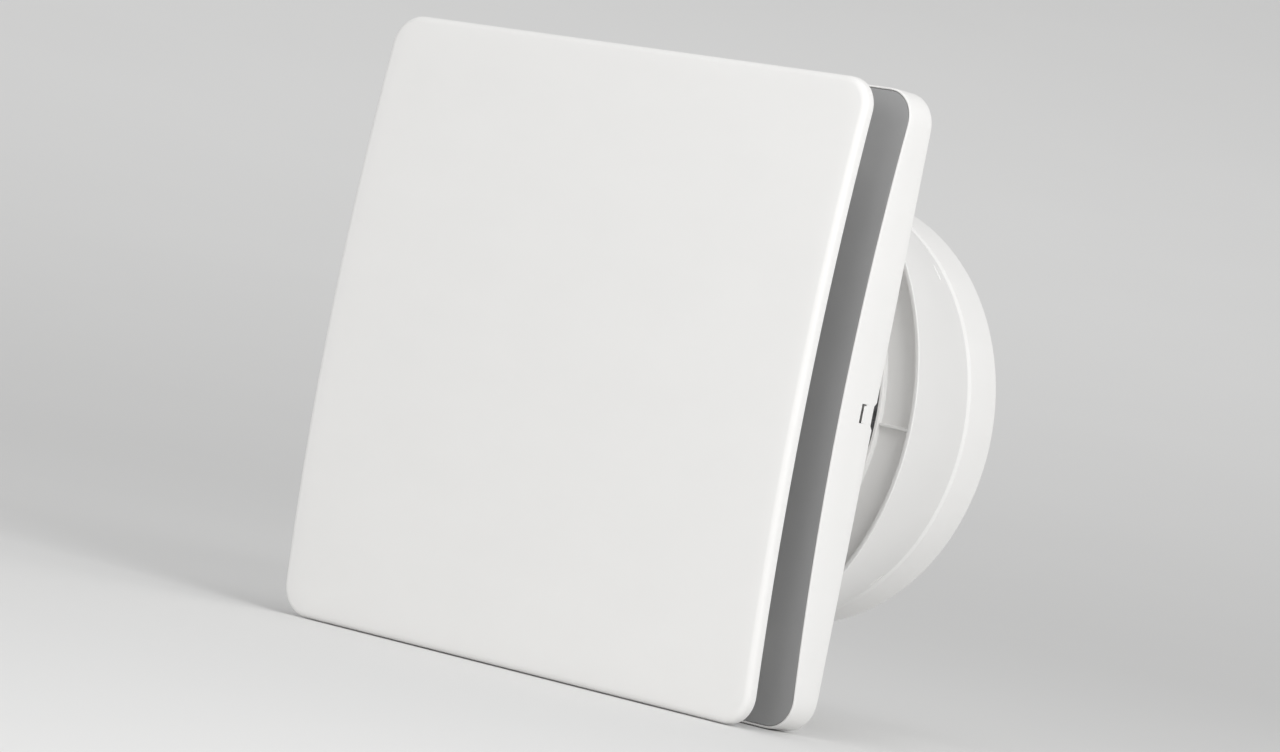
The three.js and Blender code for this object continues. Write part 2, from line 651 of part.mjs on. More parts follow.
function motorBracket() {
  const ring = ringY(NECK_BORE_R + CLEAR, FLANGE_R, BRACKET_FRONT, BRACKET_BACK);
  const cup = barY(CUP_R, BRACKET_FRONT, CUP_BACK, 0, 0, MOTOR_ROUND);
  const rim = ringY(MOTOR_R + CLEAR, CUP_R, BRACKET_FRONT, BRACKET_FRONT + ARM_DEPTH, MOTOR_ROUND);
  const rimTrim = ringY(MOTOR_R + CLEAR + CUP_RIM, CUP_R + OVER, CUP_BACK, MOTOR_MIDDLE, MOTOR_ROUND);
  const arms = diagonals.map((angle) =>
    spoke(angle, CUP_R - OVER, NECK_BORE_R - CLEAR, ARM_WIDTH, BRACKET_FRONT, BRACKET_FRONT + ARM_DEPTH),
  );
  const links = diagonals.map((angle) =>
    spoke(angle, NECK_BORE_R - OVER, EAR_FROM_AXIS, ARM_WIDTH, BRACKET_FRONT, BRACKET_BACK),
  );
  const ears = diagonals.map((angle) => {
    const [x, z] = onCircle(EAR_FROM_AXIS, angle);
    return barY(EAR_R, BRACKET_FRONT, BRACKET_BACK, x, z);
  });
  const earHoles = diagonals.map((angle) => {
    const [x, z] = onCircle(EAR_FROM_AXIS, angle);
    return barY(SCREW_R + CLEAR, BRACKET_FRONT - OVER, BRACKET_BACK + OVER, x, z);
  });
  const motorHoles = motorScrewPlaces().map(([x, z]) =>
    barY(SCREW_R + CLEAR, BRACKET_FRONT - OVER, CUP_BACK + OVER, x, z),
  );
  const grooveBack = leadPlane() + LEAD_R + CLEAR;
  const groove = spoke(LEAD_ARM, COIL_IN_R, FLANGE_R + OVER, LEAD_GROOVE, BRACKET_FRONT - OVER, grooveBack);
  const wayThrough = spoke(
    LEAD_ARM,
    COIL_IN_R,
    COIL_OUT_R,
    LEAD_GROOVE,
    BRACKET_FRONT - OVER,
    CUP_BACK + OVER,
  );
  const wayOut = box(
    FLANGE_R - CLEAR,
    BRACKET_FRONT - OVER,
    -ARM_WIDTH,
    FLANGE_R + LEAD_GROOVE + CLEAR,
    grooveBack,
    (LEAD_GROOVE + LEAD_R) / 2,
  );
  const turnedWayOut = wayOut.rotate([0, -THREE.MathUtils.radToDeg(LEAD_ARM), 0]);
  const body = join(cut(join(rim, ...arms), rimTrim), cup, ring, ...links, ...ears);
  return cut(body, ...earHoles, ...motorHoles, groove, wayThrough, turnedWayOut);
}

function motorScrewPlaces() {
  return [0, 1, 2].map((i) => onCircle(MOTOR_R - MOTOR_SCREW_FROM_EDGE, Math.PI / 2 + (i * 2 * Math.PI) / 3));
}

// ---- The motor ----

// Half of the motor's case: a cup with a holder for the bearing. `out` is the closed end's outer face
// and `split` the open edge; they differ in sign of direction for the two halves.
function motorCase(out, split) {
  const inward = Math.sign(split - out);
  const floor = out + inward * MOTOR_WALL;
  const shell = [
    [SHAFT_R + 1, out],
    [MOTOR_R - MOTOR_WALL, out],
    [MOTOR_R, floor],
    [MOTOR_R, split],
    [MOTOR_R - MOTOR_WALL, split],
    [MOTOR_R - MOTOR_WALL, floor],
    [BEARING_R + CLEAR + BEARING_HOLDER, floor],
    [BEARING_R + CLEAR + BEARING_HOLDER, floor + inward * BEARING_WIDTH],
    [BEARING_R + CLEAR, floor + inward * BEARING_WIDTH],
    [BEARING_R + CLEAR, floor],
    [SHAFT_R + 1, floor],
  ];
  return turned(shell, MOTOR_ROUND);
}

function motorHousingFront() {
  const half = motorCase(MOTOR_FRONT, MOTOR_MIDDLE - CLEAR / 2);
  const holes = motorScrewPlaces().map(([x, z]) =>
    barY(SCREW_R + CLEAR, MOTOR_FRONT - OVER, MOTOR_FRONT + OVER, x, z),
  );
  const wayThrough = spoke(
    LEAD_ARM,
    COIL_IN_R,
    COIL_OUT_R,
    LEAD_GROOVE,
    MOTOR_FRONT - OVER,
    MOTOR_FRONT + OVER,
  );
  return cut(half, ...holes, wayThrough);
}

const motorHousingRear = () => motorCase(MOTOR_BACK, MOTOR_MIDDLE + CLEAR / 2);

const statorFront = MOTOR_MIDDLE - STATOR_LENGTH / 2;
const statorBack = MOTOR_MIDDLE + STATOR_LENGTH / 2;

// The winding's bars lie in slots of the core.
function coilBars(width, grow) {
  return Array.from({ length: COIL_SLOTS }, (_, i) => {
    const angle = (i * 2 * Math.PI) / COIL_SLOTS;
    const [from, to] = [COIL_IN_R + COIL_BAR_INSET - grow, COIL_OUT_R - COIL_BAR_INSET + grow];
    return spoke(angle, from, to, width, statorFront - OVER, statorBack + OVER);
  });
}

function statorCore() {
  const outer = MOTOR_R - MOTOR_WALL - CLEAR;
  const core = ringY(STATOR_BORE_R, outer, statorFront, statorBack, MOTOR_ROUND);
  return cut(core, ...coilBars(COIL_SLOT_WIDTH, CLEAR));
}

function statorWinding() {
  const front = statorFront - CLEAR;
  const back = statorBack + CLEAR;
  const ends = [
    ringY(COIL_IN_R, COIL_OUT_R, front - COIL_OVERHANG, front, MOTOR_ROUND),
    ringY(COIL_IN_R, COIL_OUT_R, back, back + COIL_OVERHANG, MOTOR_ROUND),
  ];
  return join(...ends, ...coilBars(COIL_SLOT_WIDTH - 2 * CLEAR, 0));
}

const rotorCore = () =>
  ringY(SHAFT_R + CLEAR, STATOR_BORE_R - ROTOR_GAP, statorFront, statorBack, MOTOR_ROUND);

const bearing = (front) =>
  ringY(SHAFT_R + SHAFT_RUNNING_GAP, BEARING_R, front, front + BEARING_WIDTH, MOTOR_ROUND);

const motorShaft = () => barY(SHAFT_R, SHAFT_FRONT, SHAFT_BACK, 0, 0, MOTOR_ROUND);

// ---- The impeller ----

function impellerHub() {
  const back = HUB_BACK;
  const round = HUB_ROUND_R;
  const outer = [0, 1, 2, 3].map((i) => {
    const angle = (i * Math.PI) / 6;
    return [HUB_R - round + round * Math.cos(angle), back - round + round * Math.sin(angle)];
  });
  return turned(
    [
      [SHAFT_R + CLEAR, back - 3 * HUB_WALL],
      [HUB_BOSS_R, back - 3 * HUB_WALL],
      [HUB_BOSS_R, back - HUB_WALL],
      [HUB_R - round, back - HUB_WALL],
      [HUB_R - HUB_WALL, back - round],
      [HUB_R - HUB_WALL, HUB_FRONT],
      [HUB_R, HUB_FRONT],
      ...outer,
      [SHAFT_R + CLEAR, back],
    ],
    MOTOR_ROUND,
  );
}

// One blade: a cambered section that runs out from inside the hub's wall. Each section is turned to its
// pitch and laid round the axis, and a cylinder trims the tip.
function blade() {
  const rootR = HUB_R - HUB_WALL / 3;
  const tipR = NECK_BORE_R - TIP_GAP;
  const span = tipR + 2 * OVER - rootR;
  const half = BLADE_THICK / 2;
  const stations = [-0.5, -0.3, 0, 0.3, 0.5];
  const camber = (u) => BLADE_CAMBER * (1 - 4 * u * u);
  const section = new THREE.Shape([
    ...stations.map((u) => new THREE.Vector2(u, -half * (1.15 - 3 * u * u))),
    ...stations.reverse().map((u) => new THREE.Vector2(u, half * (1.15 - 3 * u * u))),
  ]);
  const geometry = new THREE.ExtrudeGeometry(section, { depth: span, steps: 5, bevelEnabled: false });
  const place = geometry.attributes.position;
  for (let i = 0; i < place.count; i++) {
    const share = place.getZ(i) / span;
    const radius = rootR + place.getZ(i);
    const chord = THREE.MathUtils.lerp(BLADE_ROOT_CHORD, BLADE_TIP_CHORD, share);
    const pitch = THREE.MathUtils.degToRad(
      THREE.MathUtils.lerp(BLADE_ROOT_PITCH, BLADE_TIP_PITCH, share),
    );
    const along = -place.getX(i) * chord;
    const off = place.getY(i) + camber(place.getX(i)) * chord;
    const around = (along * Math.cos(pitch) - off * Math.sin(pitch)) / radius;
    const axial = along * Math.sin(pitch) + off * Math.cos(pitch);
    place.setXYZ(
      i,
      radius * Math.cos(around),
      HUB_FRONT + BLADE_MIDDLE + axial,
      radius * Math.sin(around),
    );
  }
  const trim = barY(tipR, HUB_FRONT - HUB_LENGTH, HUB_BACK + HUB_LENGTH, 0, 0, BIG_ROUND);
  return solidOf(geometry).intersect(trim);
}

function impeller() {
  const oneBlade = blade();
  const turns = Array.from({ length: BLADES }, (_, i) => BLADE_TURN + (i * 360) / BLADES);
  const blades = turns.map((degrees) => oneBlade.rotate([0, degrees, 0]));
  return join(impellerHub(), ...blades);
}

function impellerNut() {
  const hexagon = barY(NUT_R, NUT_FRONT, NUT_FRONT + NUT_THICK, 0, 0, 6);
  return cut(hexagon, barY(SHAFT_R + CLEAR, HUB_BACK, SHAFT_BACK, 0, 0, MOTOR_ROUND));
}

// ---- The rear collar ----

const coneR = (y) => RIM_R - CONE_SLOPE * (y - RIM_FROM_WALL);
const SLEEVE_FACE = RIM_FROM_WALL + SLEEVE_BACK;
const SLEEVE_R = SLEEVE_BORE_R + SLEEVE_WALL;
const SLEEVE_END = SLEEVE_FACE + SLEEVE_LENGTH;
const WEB_FRONT = SLEEVE_FACE + WEB_FROM_SLEEVE;
const WEB_BACK = WEB_FRONT + WEB_THICK;
const coneBoreR = (y) => coneR(y) - COLLAR_WALL;
const yOfConeBore = (radius) => RIM_FROM_WALL + (RIM_R - COLLAR_WALL - radius) / CONE_SLOPE;

// The cone and spigot, with a flat web inside the cone that carries the sleeve.
function collarBody() {
  const neckIn = SPIGOT_BORE_R - SPIGOT_STEP;
  return turned([
    [RIM_R, RIM_FROM_WALL],
    [coneR(STEP_Y), STEP_Y],
    [SPIGOT_R, STEP_Y + STEP_LENGTH],
    [SPIGOT_R, COLLAR_BACK],
    [SPIGOT_BORE_R, COLLAR_BACK],
    [SPIGOT_BORE_R, STEP_Y],
    [neckIn, yOfConeBore(neckIn)],
    [coneBoreR(WEB_BACK), WEB_BACK],
    [SLEEVE_R, WEB_BACK],
    [SLEEVE_R, SLEEVE_END],
    [SLEEVE_BORE_R, SLEEVE_END],
    [SLEEVE_BORE_R, SLEEVE_FACE],
    [SLEEVE_R, SLEEVE_FACE],
    [SLEEVE_R, WEB_FRONT],
    [coneBoreR(WEB_FRONT), WEB_FRONT],
    [coneBoreR(RIM_FROM_WALL), RIM_FROM_WALL],
  ]);
}

// The gusset ribs that stand on the web, from the sleeve to the cone's wall.
function collarRibs() {
  const inner = SLEEVE_R - CLEAR;
  const sunk = WEB_FRONT + CLEAR;
  const front = RIM_FROM_WALL + RIB_OUTER_BACK;
  const room = turned([
    [inner, RIM_FROM_WALL + RIB_INNER_BACK],
    [inner, sunk],
    [coneBoreR(sunk) + CLEAR, sunk],
    [coneBoreR(front) + CLEAR, front],
  ]);
  const turn = THREE.MathUtils.degToRad(RIB_TURN);
  const angles = Array.from({ length: RIBS }, (_, i) => (i * 2 * Math.PI) / RIBS - turn);
  const bar = (angle) => spoke(angle, inner, RIM_R, RIB_THICK, RIM_FROM_WALL, WEB_BACK);
  return angles.map((angle) => bar(angle).intersect(room));
}

// Shallow recesses in the cone, ahead of the step: a pair above and a pair below.
function coneMarks() {
  const pairs = [
    [UPPER_MARK_ANGLE, UPPER_MARK_TO_STEP],
    [-LOWER_MARK_ANGLE, LOWER_MARK_TO_STEP],
  ];
  return pairs.flatMap(([degrees, toStep]) => {
    const back = STEP_Y - toStep;
    const front = back - MARK_WIDTH;
    const length = coneR(front) * THREE.MathUtils.degToRad(MARK_ARC);
    const skin = turned([
      [coneR(front) - MARK_DEPTH, front],
      [RIM_R, front],
      [RIM_R, back],
      [coneR(back) - MARK_DEPTH, back],
    ]);
    return [degrees, 180 - degrees].map((angle) =>
      spoke(THREE.MathUtils.degToRad(angle), SPIGOT_R / 2, RIM_R, length, front, back).intersect(skin),
    );
  });
}

function rearCollar() {
  const seatBack = PIN_Y - FLAP_THICK / 2 - CLEAR;
  const seat = ringY(SPIGOT_BORE_R - SEAT_WIDTH, SPIGOT_R - COLLAR_WALL / 2, seatBack - SEAT_THICK, seatBack);
  const seatTrim = ringY(SPIGOT_BORE_R + CLEAR, RIM_R, STEP_Y - COLLAR_WALL, STEP_Y - COLLAR_WALL / 2);
  const mullionBack = PIN_Y - KNUCKLE_R - CLEAR;
  const mullion = box(
    -MULLION_HALF,
    mullionBack - MULLION_THICK,
    -(SPIGOT_R - COLLAR_WALL / 2),
    MULLION_HALF,
    mullionBack,
    SPIGOT_R - COLLAR_WALL / 2,
  );
  const round = barY(SPIGOT_BORE_R + COLLAR_WALL / 4, STEP_Y - COLLAR_WALL, COLLAR_BACK, 0, 0, BIG_ROUND);
  const bosses = [-1, 1].map((side) => {
    const [a, b] = [side * (SPIGOT_R - COLLAR_WALL / 2), side * (SPIGOT_BORE_R - PIN_BOSS_LENGTH)];
    const post = barZ(PIN_BOSS_R, Math.min(a, b), Math.max(a, b), 0, PIN_Y);
    return post.intersect(round);
  });
  const reach = pinReach() + CLEAR;
  const body = join(
    collarBody(),
    ...collarRibs(),
    cut(seat, seatTrim),
    mullion.intersect(round),
    ...bosses,
  );
  return cut(body, barZ(PIN_R + CLEAR, -reach, reach, 0, PIN_Y), ...coneMarks());
}

const pinReach = () => SPIGOT_BORE_R - PIN_BOSS_LENGTH / 3;
const damperPin = () => barZ(PIN_R, -pinReach(), pinReach(), 0, PIN_Y);

const collarSeal = () =>
  ringY(
    NECK_R + CLEAR,
    SLEEVE_BORE_R - CLEAR,
    SLEEVE_FACE + SEAL_BACK,
    SLEEVE_FACE + SEAL_BACK + SEAL_LENGTH,
  );

// One half-round flap, made for the right side. `side` -1 gives the left flap, turned about the Y axis,
// which also swaps the heights of its knuckles.
function damperFlap(side) {
  const endZ = SPIGOT_BORE_R - PIN_BOSS_LENGTH - 2 * FLAP_GAP;
  const innerX = PIN_BOSS_R + FLAP_GAP;
  const rimX = Math.sqrt(FLAP_R ** 2 - endZ ** 2);
  const clearX = Math.min(innerX + FLAP_GAP, rimX);
  const steps = BIG_ROUND / 2;
  const start = Math.acos(clearX / FLAP_R);
  const rim = Array.from({ length: steps + 1 }, (_, i) => onCircle(FLAP_R, -start + (2 * start * i) / steps));
  const outline = [
    [FLAP_INNER_EDGE, FLAP_NOTCH_Z],
    [FLAP_NOTCH_X, FLAP_NOTCH_Z],
    [FLAP_NOTCH_X, -FLAP_NOTCH_Z],
    [FLAP_INNER_EDGE, -FLAP_NOTCH_Z],
    [FLAP_INNER_EDGE, -endZ],
    [clearX, -endZ],
    ...rim,
    [clearX, endZ],
    [FLAP_INNER_EDGE, endZ],
  ];
  const shape = new THREE.Shape(outline.map(([x, z]) => new THREE.Vector2(x, z)));
  const plate = alongY(shape, PIN_Y - FLAP_THICK / 2, PIN_Y + FLAP_THICK / 2);
  const spans = [
    [KNUCKLE_NEAR, KNUCKLE_NEAR + KNUCKLE_LENGTH],
    [-KNUCKLE_FAR - KNUCKLE_LENGTH, -KNUCKLE_FAR],
  ];
  const knuckles = spans.map(([low, high]) => barZ(KNUCKLE_R, low, high, 0, PIN_Y));
  const webs = spans.map(([low, high]) =>
    box(0, PIN_Y - FLAP_THICK / 2, low, FLAP_INNER_EDGE + OVER, PIN_Y + FLAP_THICK / 2, high),
  );
  const body = join(plate, ...webs, ...knuckles);
  const flap = cut(body, barZ(PIN_R + CLEAR, -FLAP_R, FLAP_R, 0, PIN_Y));
  return side > 0 ? flap : flap.rotate([0, 180, 0]);
}

// A section carried along a list of points with no twist: each ring stands square to the path.
function wire(points, radius, sides) {
  const up = new THREE.Vector3(0, 0, 1);
  const rings = points.map((point, i) => {
    const before = points[Math.max(i - 1, 0)];
    const after = points[Math.min(i + 1, points.length - 1)];
    const along = after.clone().sub(before).normalize();
    const across = new THREE.Vector3().crossVectors(up, along).normalize();
    const over = new THREE.Vector3().crossVectors(along, across);
    return Array.from({ length: sides }, (_, k) => {
      const angle = (2 * Math.PI * k) / sides;
      const offset = across.clone().multiplyScalar(radius * Math.cos(angle));
      return offset.addScaledVector(over, radius * Math.sin(angle)).add(point);
    });
  });
  const position = [...rings.flat(), points[0], points[points.length - 1]].flatMap((p) => p.toArray());
  const index = [];
  const [firstEnd, lastEnd] = [rings.length * sides, rings.length * sides + 1];
  const last = (rings.length - 1) * sides;
  for (let k = 0; k < sides; k++) {
    const next = (k + 1) % sides;
    for (let i = 0; i < last; i += sides) {
      index.push(i + k, i + next, i + sides + next);
      index.push(i + k, i + sides + next, i + sides + k);
    }
    index.push(firstEnd, next, k);
    index.push(lastEnd, last + k, last + next);
  }
  const geometry = new THREE.BufferGeometry();
  geometry.setAttribute("position", new THREE.Float32BufferAttribute(position, 3));
  geometry.setIndex(index);
  return solidOf(geometry);
}

// A flap's torsion spring: a helix round the pin that ends in a straight leg behind the flap.
function springPath() {
  const perCurl = 8;
  const total = SPRING_CURLS * perCurl;
  const low = SPRING_FROM_MIDDLE + SPRING_WIRE / 2;
  const end = Math.PI / 2 - Math.asin((SPRING_R - FLAP_THICK / 2 - SPRING_WIRE / 2 - CLEAR) / SPRING_LEG);
  const helix = Array.from({ length: total + 1 }, (_, i) => {
    const angle = end + (2 * Math.PI * (total - i)) / perCurl;
    return new THREE.Vector3(
      SPRING_R * Math.cos(angle),
      PIN_Y + SPRING_R * Math.sin(angle),
      low + (SPRING_PITCH * i) / perCurl,
    );
  });
  const leg = new THREE.Vector3(Math.sin(end), -Math.cos(end), 0).multiplyScalar(SPRING_LEG);
  return [...helix, helix[total].clone().add(leg)];
}

// The least distance between the wire's surface and that of a turn that isn't its own neighbour.
function leastGap(points, radius, apart) {
  let least = Infinity;
  points.forEach((p, i) =>
    points.slice(i + apart).forEach((q) => {
      least = Math.min(least, p.distanceTo(q) - 2 * radius);
    }),
  );
  return least;
}

function damperSpring(side) {
  const path = springPath();
  if (side > 0) {
    console.log("damper spring: least gap " + leastGap(path, SPRING_WIRE / 2, 5).toFixed(2) + " mm");
  }
  const coil = wire(path, SPRING_WIRE / 2, 5);
  return side > 0 ? coil : coil.rotate([0, 180, 0]);
}

// ---- Screws ----

// A pan-head screw along Y: its head's underside is at `seat` and its shank runs back from there.
function screw([x, z], seat, shankR, headR, length) {
  const low = seat - CLEAR - SCREW_HEAD;
  const profile = [
    [0, low],
    [headR * 0.7, low],
    [headR, low + SCREW_HEAD / 2],
    [headR, seat - CLEAR],
    [shankR, seat - CLEAR],
    [shankR, seat + length],
    [0, seat + length],
  ];
  const points = profile.map(([radius, y]) => new THREE.Vector2(radius, y));
  return solidOf(new THREE.LatheGeometry(points, SCREW_ROUND).translate(x, 0, z));
}

// ---- Terminals and leads ----

function blockBox() {
  const middle = (BOX_LEFT + BOX_RIGHT) / 2;
  const half = BLOCK_WIDTH / 2;
  const bottom = BOX_BOTTOM_Z + BOX_WALL + BLOCK_FROM_WALL;
  return { x0: middle - half, x1: middle + half, z0: bottom, z1: bottom + BLOCK_LENGTH };
}

const BLOCK_BACK = -(BASE_THICK + CLEAR);
const BLOCK_FRONT = BLOCK_BACK - BLOCK_DEPTH;

function terminalScrewPlaces() {
  const { x0, x1, z0, z1 } = blockBox();
  const step = (z1 - z0) / TERMINALS;
  return Array.from({ length: TERMINALS }, (_, i) => [(x0 + x1) / 2, z0 + step * (i + 0.5)]);
}

function terminalBlock() {
  const { x0, x1, z0, z1 } = blockBox();
  const body = box(x0, BLOCK_FRONT, z0, x1, BLOCK_BACK, z1);
  const wells = terminalScrewPlaces().map(([x, z]) =>
    barY(SMALL_SCREW_HEAD_R + CLEAR, BLOCK_FRONT - OVER, BLOCK_FRONT + SCREW_HEAD + 2 * CLEAR, x, z),
  );
  const shanks = terminalScrewPlaces().map(([x, z]) =>
    barY(SMALL_SCREW_R + CLEAR, BLOCK_FRONT, BLOCK_BACK - 2, x, z),
  );
  const groove = box(
    x0 - OVER,
    BLOCK_FRONT - OVER,
    (z0 + z1) / 2 - BOX_WALL / 2,
    x1 + OVER,
    BLOCK_FRONT + 2,
    (z0 + z1) / 2 + BOX_WALL / 2,
  );
  return cut(body, ...wells, ...shanks, groove);
}

function terminalCover() {
  const [x, z] = coverScrewPlace();
  const front = BOX_FRONT - CLEAR - COVER_THICK;
  const back = BOX_FRONT - CLEAR;
  const lid = box(BOX_LEFT, front, BOX_BOTTOM_Z, BOX_RIGHT, back, BOX_TOP_Z);
  const ear = barY(SMALL_SCREW_HEAD_R + BOX_WALL, front, back, x, z);
  const link = box(x - SMALL_SCREW_HEAD_R, front, BOX_TOP_Z - OVER, x + SMALL_SCREW_HEAD_R, back, z);
  const hole = barY(SMALL_SCREW_R + CLEAR, front - OVER, back + OVER, x, z);
  return cut(join(lid, ear, link), hole);
}

// The saddle that holds the incoming cord down on its two bosses.
function cableClamp() {
  const back = -(INLET_FROM_BACK - INLET_BORE_R) - CLEAR;
  const half = CLAMP_SCREW_SPACING / 2 + SMALL_SCREW_HEAD_R;
  const bar = box(
    CLAMP_X - CLAMP_WIDTH / 2,
    back - CLAMP_THICK,
    INLET_Z - half,
    CLAMP_X + CLAMP_WIDTH / 2,
    back,
    INLET_Z + half,
  );
  const holes = clampScrewPlaces().map(([x, z]) =>
    barY(SMALL_SCREW_R + CLEAR, back - CLAMP_THICK - OVER, back + OVER, x, z),
  );
  return cut(bar, ...holes);
}

function cableGrommet() {
  const inner = FRAME_WALL / 2 + CLEAR;
  const outer = inner + GROMMET_FLANGE;
  const bodyR = INLET_HOLE_R - CLEAR;
  const profile = [
    [INLET_BORE_R, -outer],
    [bodyR + GROMMET_LIP / 2, -outer],
    [bodyR + GROMMET_LIP / 2, -inner],
    [bodyR, -inner],
    [bodyR, inner],
    [bodyR + GROMMET_LIP, inner],
    [bodyR + GROMMET_LIP, outer],
    [INLET_BORE_R, outer],
  ];
  const points = [...profile, profile[0]].map(([radius, y]) => new THREE.Vector2(radius, y));
  const geometry = new THREE.LatheGeometry(points, SMALL_ROUND);
  geometry.rotateZ(Math.PI / 2).translate(-HALF_FRAME + FRAME_WALL / 2, -INLET_FROM_BACK, INLET_Z);
  return solidOf(geometry);
}

// The plane that the leads lie in where they cross the bracket.
function leadPlane() {
  return BRACKET_FRONT + CLEAR + LEAD_R;
}

// A lead, from the winding, forward through the motor's case, out along the bracket's lower left arm,
// and under the inlet's skirt to the terminal block.
function motorLead(side) {
  const out = new THREE.Vector3(Math.cos(LEAD_ARM), 0, Math.sin(LEAD_ARM));
  const across = new THREE.Vector3(-out.z, 0, out.x);
  const windingFront = statorFront - CLEAR - COIL_OVERHANG;
  const coilR = (COIL_IN_R + COIL_OUT_R) / 2;
  const plane = leadPlane();
  const onArm = (radius, y) =>
    out.clone().multiplyScalar(radius).addScaledVector(across, (side * LEAD_SPACING) / 2).setY(y);
  const { x0, x1, z0 } = blockBox();
  const blockX = (x0 + x1) / 2 - (side * LEAD_SPACING) / 2;
  const bend = FLANGE_R + (LEAD_GROOVE + side * LEAD_SPACING) / 2;
  const sideways = onArm(bend, plane).addScaledVector(across, -ARM_WIDTH);
  const path = new THREE.CatmullRomCurve3(
    [
      onArm(coilR, windingFront - CLEAR),
      onArm(coilR, plane + 2.5 * LEAD_R),
      onArm(coilR + 2 * LEAD_R, plane),
      onArm(MOTOR_R + LEAD_TURN, plane),
      onArm(NECK_BORE_R, plane),
      onArm(bend, plane),
      sideways,
      new THREE.Vector3(blockX + LEAD_TURN, plane, z0 - LEAD_DROP - (side * LEAD_SPACING) / 2),
      new THREE.Vector3(blockX, plane, z0 - LEAD_TAIL),
      new THREE.Vector3(blockX, plane, z0 - CLEAR),
    ],
    false,
    "centripetal",
  );
  const section = new THREE.Shape().absarc(0, 0, LEAD_R, 0, Math.PI * 2);
  const geometry = new THREE.ExtrudeGeometry(section, {
    steps: 32,
    curveSegments: 4,
    extrudePath: path,
    bevelEnabled: false,
  });
  return solidOf(geometry);
}

// ---- Materials ----

const paint = (color, roughness, metalness = 0) =>
  new THREE.MeshStandardMaterial({ color, roughness, metalness });

const materials = {
  white: () => paint(0xf0efed, 0.38),
  grey: () => paint(0x9a9b9c, 0.55),
  inner: () => paint(0xe6e6e4, 0.5),
  foam: () => paint(0x1d1d1e, 0.95),
  rubber: () => paint(0x2a2a2b, 0.8),
  steel: () => paint(0xb4b6b8, 0.3, 1),
  core: () => paint(0x6f7275, 0.5, 0.9),
  copper: () => paint(0xb4683a, 0.35, 1),
  nylon: () => paint(0xd9d6cc, 0.5),
  brown: () => paint(0x5b3a26, 0.5),
  blue: () => paint(0x2c5f9e, 0.5),
};

// ---- The assembly ----

const fan = new THREE.Group();

function add(name, solid, material) {
  const mesh = new THREE.Mesh(geometryOf(solid), materials[material]());
  mesh.name = name;
  fan.add(mesh);
}

add("front_panel", frontPanel(), "white");
add("front_frame", frontFrame(), "white");
add("intake_plate", intakePlate(), "grey");
add("base_plate", basePlate(), "white");
add("neck", neck(), "white");
add("rear_gasket", rearGasket(), "foam");

add("motor_bracket", motorBracket(), "inner");
add("motor_housing_front", motorHousingFront(), "core");
add("motor_housing_rear", motorHousingRear(), "core");
add("stator_core", statorCore(), "core");
add("stator_winding", statorWinding(), "copper");
add("rotor_core", rotorCore(), "core");
add("motor_shaft", motorShaft(), "steel");
add("front_bearing", bearing(FRONT_BEARING_Y), "steel");
add("rear_bearing", bearing(REAR_BEARING_Y), "steel");

add("impeller", impeller(), "inner");
add("impeller_nut", impellerNut(), "steel");

add("rear_collar", rearCollar(), "white");
add("collar_seal", collarSeal(), "foam");
add("damper_pin", damperPin(), "steel");
add("damper_flap_right", damperFlap(1), "inner");
add("damper_flap_left", damperFlap(-1), "inner");
add("damper_spring_right", damperSpring(1), "steel");
add("damper_spring_left", damperSpring(-1), "steel");

add("terminal_block", terminalBlock(), "nylon");
add("terminal_cover", terminalCover(), "inner");
add("cable_clamp", cableClamp(), "nylon");
add("cable_grommet", cableGrommet(), "rubber");
add("motor_lead_live", motorLead(1), "brown");
add("motor_lead_neutral", motorLead(-1), "blue");

diagonals.forEach((angle, i) => {
  const place = onCircle(EAR_FROM_AXIS, angle);
  const length = BRACKET_THICK + NECK_AHEAD - BASE_THICK;
  const solid = screw(place, BRACKET_FRONT, SCREW_R, SCREW_HEAD_R, length);
  add("bracket_screw_" + (i + 1), solid, "steel");
});

plateScrewPlaces().forEach((place, i) => {
  const seat = housingFront(Math.abs(place[1]) - SCREW_HEAD_R) + PLATE_RECESS;
  const solid = screw(place, seat, SCREW_R, SCREW_HEAD_R, -seat - BASE_THICK - CLEAR);
  add("plate_screw_" + (i + 1), solid, "steel");
});

motorScrewPlaces().forEach((place, i) => {
  const solid = screw(place, BRACKET_FRONT, SCREW_R, SCREW_HEAD_R, CUP_THICK + MOTOR_WALL + CLEAR);
  add("motor_screw_" + (i + 1), solid, "steel");
});

terminalScrewPlaces().forEach((place, i) => {
  const seat = BLOCK_FRONT + SCREW_HEAD + 2 * CLEAR;
  const length = BLOCK_DEPTH - SCREW_HEAD - 4 * CLEAR - 2;
  add("terminal_screw_" + (i + 1), screw(place, seat, SMALL_SCREW_R, SMALL_SCREW_HEAD_R, length), "steel");
});

clampScrewPlaces().forEach((place, i) => {
  const bossFront = -(INLET_FROM_BACK - INLET_BORE_R);
  const seat = bossFront - CLEAR - CLAMP_THICK;
  const length = bossFront - seat + BASE_THICK / 2;
  add("clamp_screw_" + (i + 1), screw(place, seat, SMALL_SCREW_R, SMALL_SCREW_HEAD_R, length), "steel");
});

const coverSeat = BOX_FRONT - CLEAR - COVER_THICK;
const coverScrew = screw(coverScrewPlace(), coverSeat, SMALL_SCREW_R, SMALL_SCREW_HEAD_R, BOX_DEPTH);
add("cover_screw", coverScrew, "steel");

export default fan;
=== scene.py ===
"""Window exhaust fan: its finished look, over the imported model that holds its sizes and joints.

Metres, +Z up. The origin is on the duct axis, in the plane of the housing's rear face. The duct axis is Y:
the room is towards -Y and the outside is towards +Y.
"""

import math

import bmesh
import bpy
import numpy as np
from bpy.props import FloatProperty, FloatVectorProperty, IntProperty, PointerProperty
from mathutils import Matrix, Vector
from mathutils.geometry import delaunay_2d_cdt


